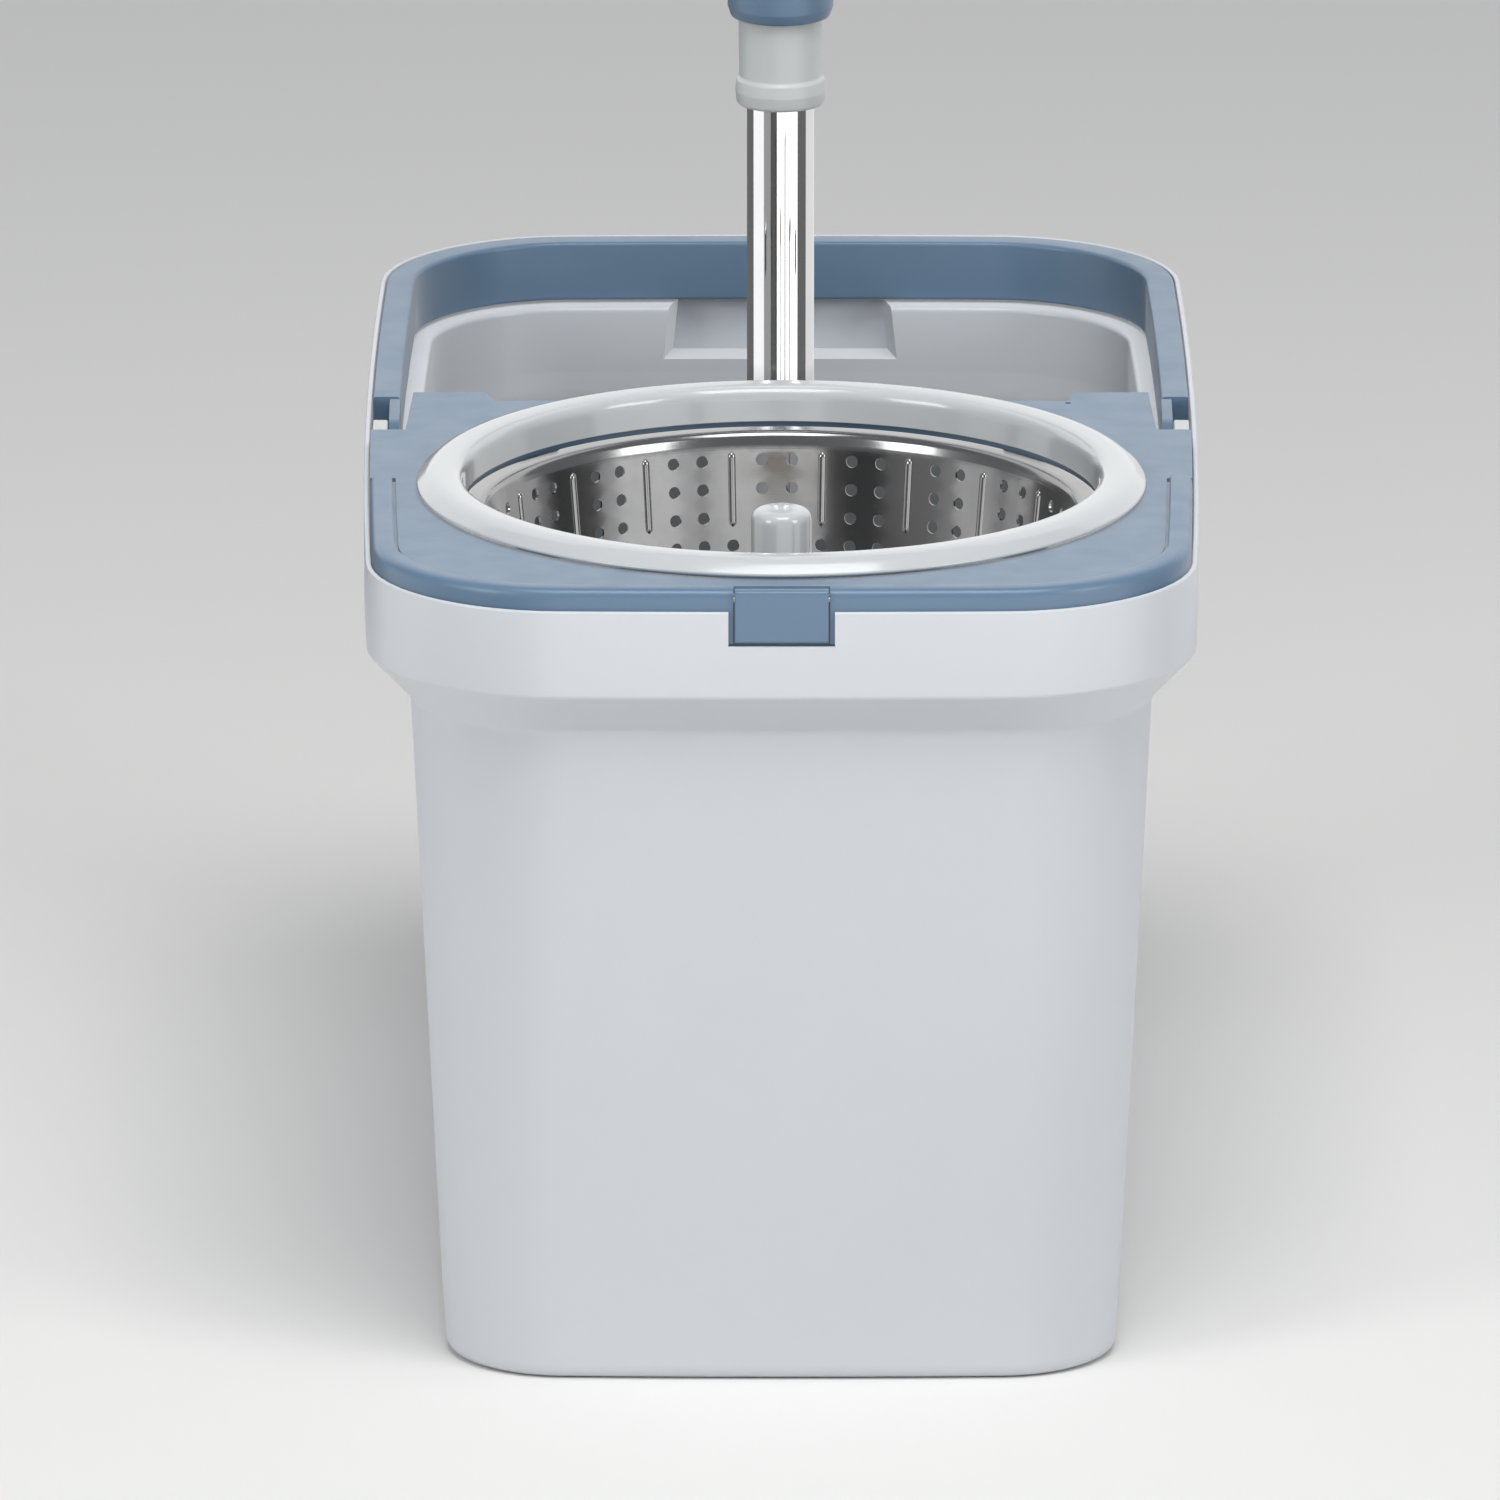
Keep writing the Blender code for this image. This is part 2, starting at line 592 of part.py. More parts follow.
def around(centre, radius, count, start=0.0):
    turn = 2 * math.pi / count
    return [
        (centre.x + radius * math.cos(start + turn * i), centre.y + radius * math.sin(start + turn * i))
        for i in range(count)
    ]


def make_cradle(grey, steel):
    """A plastic cross that hangs from the deck by four legs and carries the basket's axle."""
    bore = AXLE_R + RUNNING
    cradle = tube("basket_cradle", CRADLE_BOSS_R, bore, CRADLE_BOTTOM, CRADLE_TOP, grey, BASKET_CENTRE, 24)
    arm = CRADLE_ARM / 2
    arm_top = CRADLE_BOTTOM + CRADLE_ARM_THICK
    outside = CRADLE_REACH
    inside = outside - CRADLE_LEG
    pad_end = inside + CRADLE_PAD
    pad_low = PAD_TOP - PAD_THICK
    side = [
        (CRADLE_ROOT_R, CRADLE_BOTTOM), (outside, CRADLE_BOTTOM), (outside, pad_low), (pad_end, pad_low),
        (pad_end, PAD_TOP), (inside, PAD_TOP), (inside, arm_top), (CRADLE_ROOT_R, arm_top),
    ]
    screws = []
    for i in range(4):
        turn = CRADLE_TURN + math.pi / 2 * i
        along = Vector((math.cos(turn), math.sin(turn), 0))
        across = Vector((-math.sin(turn), math.cos(turn), 0))
        rings = []
        for edge in (-arm, arm):
            rings.append([BASKET_CENTRE + along * r + across * edge + Vector((0, 0, z)) for r, z in side])
        boolean(cradle, skin(f"cradle_arm_{i + 1}", rings, grey), "UNION")
    head_z = pad_low - RUNNING - SCREW_HEAD
    length = PAD_THICK + 2 * RUNNING + SCREW_BITE
    for i, (x, y) in enumerate(around(BASKET_CENTRE, CRADLE_SCREW_R, 4, CRADLE_TURN)):
        boolean(cradle, screw_hole(f"pad_hole_{i + 1}", x, y, pad_low - OVERCUT, PAD_TOP + OVERCUT, grey))
        screws.append(screw(f"cradle_screw_{i + 1}", (x, y, head_z), length, steel))
    return cradle, screws


def make_basket_sheet(steel):
    """The drawn basket: rolled lip, rounded shoulder, tapered wall and flat floor, all in one sheet."""
    top, low, sheet = BASKET_TOP, BASKET_BOTTOM, BASKET_SHEET
    wall_top = top - SHOULDER_TALL
    curve = BASKET_FOOT_ROUND
    outside = [
        (FLOOR_HOLE_R, low), (BASKET_FOOT_R - curve, low), (BASKET_FOOT_R - curve * 0.3, low + curve * 0.3),
        (BASKET_FOOT_R, low + curve), (BASKET_R, wall_top), (BASKET_R + 1.5 * sheet, top - 3 * sheet),
        (BASKET_R + 4 * sheet, top - sheet), (BASKET_LIP_R - sheet, top - 1.5 * sheet),
        (BASKET_LIP_R - sheet, top - LIP_TALL), (BASKET_LIP_R, top - LIP_TALL), (BASKET_LIP_R, top - sheet),
    ]
    inside = [
        (BASKET_LIP_R - 1.5 * sheet, top), (BASKET_R + 3.5 * sheet, top),
        (BASKET_R + sheet / 2, top - 2.5 * sheet),
        (BASKET_R - sheet, wall_top), (BASKET_FOOT_R - sheet, low + curve),
        (BASKET_FOOT_R - curve * 0.4, low + curve * 0.4), (BASKET_FOOT_R - curve, low + sheet),
        (FLOOR_HOLE_R, low + sheet),
    ]
    return turned("spin_basket", outside + inside, steel, BASKET_CENTRE, True, 60)


def make_post(white, flange_z):
    """The domed post and its flange, one moulding that is open below for the axle and its bushes."""
    neck_z = flange_z + FLANGE_THICK
    under_crown = POST_TOP - POST_CROWN
    return turned("centre_post", [
        (FLANGE_R, flange_z), (FLANGE_R, neck_z), (POST_R + POST_DOME, neck_z + POST_FILLET),
        (POST_R, flange_z + FLANGE_THICK + FLANGE_SLOPE), (POST_R, POST_TOP - POST_DOME),
        (POST_R - POST_DOME / 3, POST_TOP - POST_DOME * 0.4), (POST_R - POST_DOME, POST_TOP),
        (POST_DOME / 3, POST_TOP), (POST_DOME / 3, under_crown), (POST_BORE_R, under_crown),
        (POST_BORE_R, flange_z),
    ], white, BASKET_CENTRE, True, 24)


def make_basket(steel, white, dark, brass):
    """The steel basket, clamped between the post's flange and the hub, turning on a fixed axle."""
    low = BASKET_BOTTOM
    basket = make_basket_sheet(steel)
    flange_z = low + BASKET_SHEET + RUNNING
    post = make_post(white, flange_z)
    hub_top = HUB_BOTTOM + HUB_THICK
    hub = tube("basket_hub", FLANGE_R, POST_BORE_R, HUB_BOTTOM, hub_top, dark, BASKET_CENTRE, 24)
    head_z = HUB_BOTTOM + SCREW_SINK
    tip_z = head_z + SCREW_HEAD + HUB_THICK + HUB_SCREW_BITE
    screws = []
    for i, (x, y) in enumerate(around(BASKET_CENTRE, HUB_SCREW_CIRCLE_R, 3, math.pi / 2)):
        screws.append(screw(f"hub_screw_{i + 1}", (x, y, head_z), HUB_THICK + HUB_SCREW_BITE, steel))
        for target in (hub, basket, post):
            name = f"{target.name}_bore_{i + 1}"
            boolean(target, screw_hole(name, x, y, HUB_BOTTOM - OVERCUT, tip_z + RUNNING, dark))
        sink_r = SCREW_HEAD_R + RUNNING
        sink = [(sink_r, HUB_BOTTOM - OVERCUT), (sink_r, head_z + SCREW_HEAD + RUNNING)]
        boolean(hub, turned(f"hub_sink_{i + 1}", sink, dark, Vector((x, y, 0)), steps=10))
    bush_r = POST_BORE_R - RUNNING
    axle_top = POST_TOP - POST_CROWN - AXLE_END_ROOM
    bushes = []
    upper_z = axle_top - BUSH_LENGTH - BUSH_SET_DOWN
    for name, z in (("lower_bush", low + BUSH_LENGTH / 2), ("upper_bush", upper_z)):
        bushes.append(tube(name, bush_r, AXLE_R + RUNNING, z, z + BUSH_LENGTH, brass, BASKET_CENTRE, 20))
    seat = CRADLE_BOTTOM - RUNNING
    axle = turned("spindle_axle", [
        (AXLE_HEAD_R, CRADLE_BOTTOM - AXLE_HEAD), (AXLE_HEAD_R, seat), (AXLE_R, seat), (AXLE_R, axle_top),
    ], steel, BASKET_CENTRE, steps=20)
    washer_z = CRADLE_TOP + RUNNING
    washer = tube("thrust_washer", WASHER_R, AXLE_R + RUNNING, washer_z, washer_z + WASHER_THICK, brass,
                  BASKET_CENTRE, 20)
    spinning = [basket, post, hub, *bushes, *screws]
    hang_on(axis_empty("basket_axis", (0, BASKET_Y, BASKET_BOTTOM)), *spinning)
    return spinning, axle, washer


# ---------- bail ----------

def make_bail(blue, white):
    """The folding carry handle: a flat band round the back of the collar, hinged inside its sides."""
    outer, inner = DECK_INSET, BAIL_INNER_INSET
    low, high, soft = BAIL_BOTTOM, RIM_HEIGHT, BAIL_EDGE
    bail = band("bail_handle", [
        (outer, low), (outer, high - soft), (outer + soft, high), (inner - soft, high),
        (inner, high - soft), (inner, low),
    ], blue)
    boolean(bail, half_space("bail_rear", BAIL_START_Y, RIM_LENGTH, blue), "INTERSECT")
    side = RIM_WIDTH / 2
    bow_left = SIDE_BOW * (BAIL_START_Y * 2 / RIM_LENGTH) ** 2
    eye_r = (high - soft - low) / 2
    lugs = []
    for name, sign in (("left", -1), ("right", 1)):
        inner_x = sign * (side - inner - bow_left)
        outer_x = inner_x + sign * BAIL_TONGUE
        x0, x1 = sorted((inner_x, outer_x))
        start, end = BAIL_PIVOT_Y, BAIL_START_Y + OVERCUT
        boolean(bail, block(f"tongue_{name}", (x0, start, low), (x1, end, high - soft), blue), "UNION")
        boolean(bail, crossbar(f"tongue_eye_{name}", eye_r, x0, x1, start, low + eye_r, blue, 24), "UNION")
        bore_r = BAIL_PIN_R + RUNNING
        x0, x1 = x0 - OVERCUT, x1 + OVERCUT
        boolean(bail, crossbar(f"tongue_bore_{name}", bore_r, x0, x1, start, BAIL_PIVOT_Z, blue))
        lug_outer = sign * (side - RIM_WALL - 2 * RUNNING)
        lug_inner = outer_x + sign * GAP
        y0 = BAIL_PIVOT_Y - LUG_LENGTH / 2
        x0, x1 = sorted((lug_outer, lug_inner))
        lug = block(f"pivot_lug_{name}", (x0, y0, LEDGE_Z + RUNNING),
                    (x1, y0 + LUG_LENGTH, RIM_HEIGHT - LUG_TOP_DROP), white)
        x0, x1 = sorted((inner_x - sign * OVERCUT, lug_inner + sign * OVERCUT))
        boolean(lug, crossbar(f"lug_stub_{name}", BAIL_PIN_R, x0, x1, start, BAIL_PIVOT_Z, white), "UNION")
        lugs.append(lug)
    hang_on(axis_empty("bail_axis", (0, BAIL_PIVOT_Y, BAIL_PIVOT_Z)), bail)
    return bail, lugs


# ---------- mop ----------

def blade_ring(width, thick, z):
    """One level of the twisted blade, turned by the twist at that height."""
    turn = TWIST_RATE * (z - BLADE_BOTTOM)
    along = Vector((math.cos(turn), math.sin(turn), 0)) * width / 2
    across = Vector((-math.sin(turn), math.cos(turn), 0)) * thick / 2
    up = MOP_CENTRE + Vector((0, 0, z))
    return [up + along + across, up - along + across, up - along - across, up + along - across]


def blade(name, width, thick, bottom, top, finish):
    steps = math.ceil(TWIST_RATE * (top - bottom) / BLADE_STEP)
    rings = [blade_ring(width, thick, bottom + (top - bottom) * i / steps) for i in range(steps + 1)]
    return skin(name, rings, finish)


def make_lower_pole(chrome, grey):
    """The thin lower tube that the handle slides down, with the bushes that carry the drive rod."""
    bottom, top = KNUCKLE_TOP + POLE_FOOT_ROOM, LOWER_POLE_TOP
    pole_bore = LOWER_POLE_R - TUBE_WALL
    pole = tube("lower_pole", LOWER_POLE_R, pole_bore, bottom, top, chrome, MOP_CENTRE, 32)
    bore = ROD_R + RUNNING
    plug_r = pole_bore - RUNNING
    lip_r = LOWER_POLE_R + BUSH_LIP
    foot = turned("foot_bush", [
        (bore, bottom - BUSH_FLANGE), (lip_r, bottom - BUSH_FLANGE), (lip_r, bottom - RUNNING),
        (plug_r, bottom - RUNNING), (plug_r, bottom + BUSH_PLUG), (bore, bottom + BUSH_PLUG),
    ], grey, MOP_CENTRE, True)
    guide = turned("guide_bush", [
        (bore, top - BUSH_PLUG), (plug_r, top - BUSH_PLUG), (plug_r, top + RUNNING),
        (LOWER_POLE_R, top + RUNNING), (LOWER_POLE_R, top + GUIDE_CAP), (bore, top + GUIDE_CAP),
    ], grey, MOP_CENTRE, True)
    hang_on(axis_empty("mop_lift_axis", MOP_CENTRE), pole, foot, guide)


def make_drive(steel, white):
    """The drive rod, round below and a twisted blade above, fixed in the forked knuckle that it turns."""
    rod_foot = KNUCKLE_TOP - ROD_GRIP
    rod = turned("spiral_rod", [
        (ROD_R, rod_foot), (ROD_R, BLADE_BOTTOM - 2 * OVERCUT), (ROD_R - OVERCUT, BLADE_BOTTOM),
    ], steel, MOP_CENTRE, steps=16)
    twisted = blade("rod_blade", BLADE_WIDTH, BLADE_THICK, BLADE_BOTTOM - BLADE_ROOT, BLADE_TOP, steel)
    boolean(rod, twisted, "UNION")
    fork_low = HEAD_PIVOT_Z - EAR_R
    knuckle = turned("head_knuckle", [
        (KNUCKLE_R, fork_low), (KNUCKLE_R, KNUCKLE_TOP - KNUCKLE_TAPER_TALL),
        (KNUCKLE_R - KNUCKLE_TAPER, KNUCKLE_TOP),
    ], white, MOP_CENTRE, steps=24)
    socket_r = ROD_R + RUNNING
    socket = [(socket_r, rod_foot - RUNNING), (socket_r, KNUCKLE_TOP + OVERCUT)]
    boolean(knuckle, turned("rod_socket", socket, white, MOP_CENTRE, steps=16))
    slot = EAR_THICK / 2 + GAP
    reach = KNUCKLE_R + OVERCUT
    fork = block("fork_slot", (-slot, MOP_Y - reach, fork_low - OVERCUT),
                 (slot, MOP_Y + reach, HEAD_PIVOT_Z + EAR_R + FORK_ROOM), white)
    boolean(knuckle, fork)
    bore_r = KNUCKLE_PIN_R + RUNNING
    boolean(knuckle, crossbar("fork_bore", bore_r, -reach, reach, MOP_Y, HEAD_PIVOT_Z, white))
    pin = crossbar("knuckle_pin", KNUCKLE_PIN_R, -KNUCKLE_R, KNUCKLE_R, MOP_Y, HEAD_PIVOT_Z, steel)
    hang_on(axis_empty("head_spin_axis", MOP_CENTRE), rod, knuckle, pin)


def make_head(white, grey, fibre):
    """The round head: a plate with an ear for the knuckle, a clamp ring, and the tufted refill under it."""
    plate_top = PLATE_BOTTOM + PLATE_THICK
    edge = PLATE_THICK * 0.3
    plate = turned("mop_plate", [
        (PLATE_R - edge, PLATE_BOTTOM), (PLATE_R, PLATE_BOTTOM + edge), (PLATE_R - edge, plate_top - OVERCUT),
        (PLATE_SLOPE_R, plate_top), (PLATE_HUB_R, plate_top + PLATE_HUB_RISE),
    ], white, MOP_CENTRE, steps=36)
    half = EAR_THICK / 2
    side = []
    for i in range(13):
        angle = math.pi * i / 12
        side.append((MOP_Y + EAR_R * math.cos(angle), HEAD_PIVOT_Z + EAR_R * math.sin(angle)))
    ear_root = plate_top - 2 * OVERCUT
    side += [(MOP_Y - EAR_R, ear_root), (MOP_Y + EAR_R, ear_root)]
    boolean(plate, skin("plate_ear", [[(x, y, z) for y, z in side] for x in (-half, half)], white), "UNION")
    bore_r = KNUCKLE_PIN_R + RUNNING
    boolean(plate, crossbar("ear_bore", bore_r, -KNUCKLE_R, KNUCKLE_R, MOP_Y, HEAD_PIVOT_Z, white))
    ring_top = PLATE_BOTTOM - RUNNING
    ring_low = ring_top - REFILL_RING
    ring_bore = REFILL_RING_R - REFILL_RING_WIDTH
    ring = tube("refill_ring", REFILL_RING_R, ring_bore, ring_low, ring_top, grey, MOP_CENTRE, 36)
    floor_z = FLOOR + FIBRE_FOOT_ROOM
    under_ring = ring_low - RUNNING
    beside_plate = PLATE_R + OVERCUT
    tufts = turned("mop_fibres", [
        (FIBRE_R - FIBRE_FOOT_IN, floor_z), (FIBRE_R - OVERCUT, floor_z + FIBRE_WAIST / 3),
        (FIBRE_R, floor_z + FIBRE_WAIST), (FIBRE_R - FIBRE_FOOT_IN / 2, under_ring + 2 * OVERCUT),
        (beside_plate + 3 * OVERCUT, PLATE_BOTTOM + OVERCUT), (beside_plate + OVERCUT / 2, PLATE_BOTTOM),
        (beside_plate, under_ring), (PLATE_HUB_R, under_ring),
    ], fibre, MOP_CENTRE, steps=36)
    hang_on(axis_empty("head_tilt_axis", (0, MOP_Y, HEAD_PIVOT_Z)), plate, ring, tufts)


def make_handle(chrome, grey, clear, blue, white):
    """The upper handle: two tubes on a plug, the lock collar and drive nut below, the grip and cap above."""
    outer, bore = UPPER_POLE_R, UPPER_BORE_R
    ring_top = COLLAR_BOTTOM + COLLAR_RING
    over_lower, over_upper = LOWER_POLE_R + RUNNING, outer + RUNNING
    collar = turned("lock_collar", [
        (over_lower, COLLAR_BOTTOM), (COLLAR_RING_R, COLLAR_BOTTOM + OVERCUT),
        (COLLAR_RING_R, ring_top - 1.5 * COLLAR_RING_WIDTH), (COLLAR_R, ring_top), (COLLAR_R, COLLAR_TOP),
        (over_upper, COLLAR_TOP), (over_upper, POLE_SEAT_Z), (over_lower, POLE_SEAT_Z),
    ], clear, MOP_CENTRE, True, 32)
    first = tube("upper_pole_lower", outer, bore, POLE_SEAT_Z + RUNNING, POLE_JOIN_Z, chrome, MOP_CENTRE, 32)
    cap_low = GRIP_TOP - CAP_GRIP
    second_low = POLE_JOIN_Z + 2 * RUNNING + JOIN_RING
    second = tube("upper_pole_upper", outer, bore, second_low, cap_low, chrome, MOP_CENTRE, 32)
    plug_r = bore - RUNNING
    tip_r = plug_r - PLUG_WALL
    ring_r = outer + JOIN_RING_WIDTH
    ring_low = POLE_JOIN_Z + RUNNING
    plug = turned("pole_connector", [
        (tip_r, POLE_JOIN_Z - JOIN_PLUG), (plug_r, POLE_JOIN_Z - JOIN_PLUG + OVERCUT), (plug_r, ring_low),
        (ring_r, ring_low), (ring_r, ring_low + JOIN_RING), (plug_r, ring_low + JOIN_RING),
        (plug_r, second_low + JOIN_PLUG - OVERCUT), (tip_r, second_low + JOIN_PLUG - OVERCUT),
    ], grey, MOP_CENTRE, True)
    nut_top = NUT_BOTTOM + NUT_THICK
    nut = turned("drive_nut", [(plug_r, NUT_BOTTOM), (plug_r, nut_top)], white, MOP_CENTRE, steps=24)
    slot_width, slot_thick = BLADE_WIDTH + 2 * GAP, BLADE_THICK + 2 * GAP
    boolean(nut, blade("nut_slot", slot_width, slot_thick, NUT_BOTTOM - OVERCUT, nut_top + OVERCUT, white))
    grip = turned("hand_grip", [
        (over_upper, GRIP_BOTTOM), (GRIP_R - GRIP_EDGE, GRIP_BOTTOM), (GRIP_R, GRIP_BOTTOM + 2 * GRIP_EDGE),
        (GRIP_R - GRIP_WAIST, GRIP_BOTTOM + GRIP_LENGTH * 0.35), (GRIP_R + GRIP_SWELL, GRIP_TOP - CAP_RIM),
        (GRIP_R - GRIP_SWELL, GRIP_TOP - RUNNING), (over_upper, GRIP_TOP - RUNNING),
    ], blue, MOP_CENTRE, True)
    cap = make_hang_cap(blue, plug_r, cap_low)
    hang_on(axis_empty("handle_press_axis", MOP_CENTRE), collar, first, second, plug, nut, grip, cap)


def make_hang_cap(blue, plug_r, plug_top):
    """The end cap: a plug in the tube's end, and a flat eye above it to hang the mop up by."""
    seat = GRIP_TOP + RUNNING
    rim_r = GRIP_R - GRIP_EDGE
    cap = turned("hang_cap", [
        (plug_r - OVERCUT, plug_top - CAP_PLUG), (plug_r, plug_top - CAP_PLUG + 2 * OVERCUT), (plug_r, seat),
        (rim_r, seat), (rim_r, seat + CAP_RIM), (CAP_NECK_R, seat + 2 * CAP_RIM),
    ], blue, MOP_CENTRE)
    mid = MOP_HEIGHT - EYE_R
    half = EYE_THICK / 2
    plan = [(EYE_R * math.cos(math.pi * i / 12), mid + EYE_R * math.sin(math.pi * i / 12)) for i in range(13)]
    root = seat + CAP_RIM / 2
    plan += [(-EYE_NECK, root), (EYE_NECK, root)]
    sides = [[(x, MOP_Y + y, z) for x, z in plan] for y in (-half, half)]
    boolean(cap, skin("cap_eye", sides, blue), "UNION")
    hole_z = mid - EYE_HOLE_DROP
    ring = []
    for i in range(16):
        angle = math.pi * i / 8
        ring.append((EYE_HOLE_R * math.cos(angle), hole_z + EYE_HOLE_R * math.sin(angle)))
    rings = [[(x, MOP_Y + y, z) for x, z in ring] for y in (-EYE_THICK, EYE_THICK)]
    boolean(cap, skin("cap_hole", rings, blue))
    return cap


def make_sleeve(blue):
    """The twist sleeve that locks the handle, over the lock collar's upper end."""
    over = COLLAR_R + RUNNING
    inner = UPPER_POLE_R + RUNNING
    top = SLEEVE_BOTTOM + SLEEVE_LENGTH
    shoulder = COLLAR_TOP + RUNNING
    edge = SLEEVE_WALL / 2
    sleeve = turned("twist_sleeve", [
        (over, SLEEVE_BOTTOM), (SLEEVE_R - edge, SLEEVE_BOTTOM), (SLEEVE_R, SLEEVE_BOTTOM + 2 * edge),
        (SLEEVE_R - OVERCUT / 2, top - SLEEVE_NECK), (SLEEVE_R - 1.5 * edge, top - 2 * OVERCUT),
        (SLEEVE_R - 2 * edge, top), (inner, top), (inner, shoulder), (over, shoulder),
    ], blue, MOP_CENTRE, True)
    hang_on(axis_empty("lock_twist_axis", MOP_CENTRE), sleeve)


def build():
    for old in list(bpy.data.objects):
        bpy.data.objects.remove(old)
    grey = material("bucket_grey", (0.60, 0.62, 0.65), 0.35)
    blue = material("slate_blue", (0.17, 0.27, 0.38), 0.4)
    white = material("gloss_white", (0.74, 0.76, 0.77), 0.2)
    light = material("light_grey", (0.45, 0.47, 0.5), 0.45)
    dark = material("dark_grey", (0.12, 0.13, 0.14), 0.5)
    steel = material("stainless", (0.62, 0.62, 0.62), 0.25, 1.0)
    chrome = material("chrome", (0.8, 0.8, 0.8), 0.08, 1.0)
    brass = material("bronze_bush", (0.6, 0.42, 0.2), 0.35, 1.0)
    clear = material("clear_grey", (0.72, 0.75, 0.75), 0.3, 0.0, 0.7)
    fibre = material("microfibre", (0.8, 0.82, 0.84), 0.95)
    make_bucket(grey)
    make_deck(blue)
    make_trim(blue)
    make_latch(blue, steel)
    make_ring(white)
    make_cradle(light, steel)
    make_basket(steel, white, dark, brass)
    make_bail(blue, white)
    make_lower_pole(chrome, light)
    make_drive(steel, white)
    make_head(white, light, fibre)
    make_handle(chrome, light, clear, blue, white)
    make_sleeve(blue)


build()
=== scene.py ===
import math
import random

import bmesh
import bpy
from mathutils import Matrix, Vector


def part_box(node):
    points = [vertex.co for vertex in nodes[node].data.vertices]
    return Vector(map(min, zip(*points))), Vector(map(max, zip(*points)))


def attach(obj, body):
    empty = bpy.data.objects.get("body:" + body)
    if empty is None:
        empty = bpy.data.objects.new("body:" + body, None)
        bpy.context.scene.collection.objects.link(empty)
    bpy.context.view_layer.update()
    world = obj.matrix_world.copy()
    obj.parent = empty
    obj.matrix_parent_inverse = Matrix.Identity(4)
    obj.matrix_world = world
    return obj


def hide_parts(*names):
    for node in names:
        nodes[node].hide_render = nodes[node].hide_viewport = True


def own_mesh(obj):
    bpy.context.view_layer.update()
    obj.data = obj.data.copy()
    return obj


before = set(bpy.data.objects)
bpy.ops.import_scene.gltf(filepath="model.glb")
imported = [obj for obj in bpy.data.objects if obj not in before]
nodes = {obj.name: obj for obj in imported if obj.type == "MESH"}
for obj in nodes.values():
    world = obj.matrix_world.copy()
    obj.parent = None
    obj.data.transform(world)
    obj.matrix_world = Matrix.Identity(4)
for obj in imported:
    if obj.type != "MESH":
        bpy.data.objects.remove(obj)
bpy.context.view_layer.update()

# ---------- Studio ----------
# A pale floor under a pale sky, one broad softbox overhead and two at the sides, and a long lens from the
# spin end. Reflector boards stand round the pole and are seen only in reflections. They give the chrome and
# the gloss plastics their stripes.
CAMERA_PLACE = (-0.0101, -8.5554, 2.5117)
CAMERA_DOWN = math.radians(15.43)
CAMERA_LENS = 648.1
FLOOR_REACH = 30.0
BOARD_CENTRE_Y = 0.11
BOARD_DISTANCE = 0.72
BOARD_STEPS = 6
BOARD_FOOT = 0.001
BOARD_TOP = 0.30
HIGH_BOARD_TOP = 1.5
# Where each low board starts and ends, in degrees round the pole from the camera's side, and its brightness.
LOW_BOARDS = [
    (-180, -106, 0.14), (-106, -59, 1.15), (-59, -34, 0.36), (-34, -12, 0.10), (-12, 60, 1.70),
    (60, 97, 0.14), (97, 180, 0.85),
]
# The high one stands behind and lights the level faces, which the camera sees at a low angle.
HIGH_BOARD = (110, 250, 1.25)


def add_object(name, data):
    """A new object that holds the data, linked into the scene."""
    made = bpy.data.objects.new(name, data)
    bpy.context.scene.collection.objects.link(made)
    return made


def add_sheet(name, points, faces):
    mesh = bpy.data.meshes.new(name)
    mesh.from_pydata(points, [], faces)
    return add_object(name, mesh)


def new_finish(name):
    """A new material and its shader."""
    finish = bpy.data.materials.new(name)
    finish.use_nodes = True
    return finish, finish.node_tree.nodes["Principled BSDF"]


camera_data = bpy.data.cameras.new("studio_camera")
camera_data.lens = CAMERA_LENS
camera_data.clip_end = 100.0
camera = add_object("studio_camera", camera_data)
camera.location = CAMERA_PLACE
camera.rotation_euler = (math.pi / 2 - CAMERA_DOWN, 0, 0)
bpy.context.scene.camera = camera

floor_corners = [(x * FLOOR_REACH, y * FLOOR_REACH, 0) for x, y in ((-1, -1), (1, -1), (1, 1), (-1, 1))]
floor = add_sheet("studio_floor", floor_corners, [(0, 1, 2, 3)])
floor_finish, floor_shader = new_finish("studio_floor")
floor_shader.inputs["Base Color"].default_value = (0.80, 0.79, 0.775, 1)
floor_shader.inputs["Roughness"].default_value = 0.9
floor_shader.inputs["Specular IOR Level"].default_value = 0.0
floor.data.materials.append(floor_finish)

boards = [(*low_board, BOARD_FOOT, BOARD_TOP) for low_board in LOW_BOARDS]
boards.append((*HIGH_BOARD, BOARD_TOP, HIGH_BOARD_TOP))
for number, (start, end, glow, foot, top) in enumerate(boards):
    low, high = [], []
    for step in range(BOARD_STEPS + 1):
        around = math.radians(start + (end - start) * step / BOARD_STEPS)
        x, y = BOARD_DISTANCE * math.sin(around), BOARD_CENTRE_Y - BOARD_DISTANCE * math.cos(around)
        low.append((x, y, foot))
        high.append((x, y, top))
    board_faces = [(i, i + 1, BOARD_STEPS + 2 + i, BOARD_STEPS + 1 + i) for i in range(BOARD_STEPS)]
    board = add_sheet(f"reflector_{number}", low + high, board_faces)
    glowing, glowing_shader = new_finish(f"reflector_{number}")
    glowing_shader.inputs["Base Color"].default_value = (0, 0, 0, 1)
    glowing_shader.inputs["Roughness"].default_value = 1.0
    glowing_shader.inputs["Emission Color"].default_value = (1, 1, 1, 1)
    glowing_shader.inputs["Emission Strength"].default_value = glow
    board.data.materials.append(glowing)
    board.visible_camera = False
    board.visible_diffuse = False
    board.visible_shadow = False
    board.visible_transmission = False

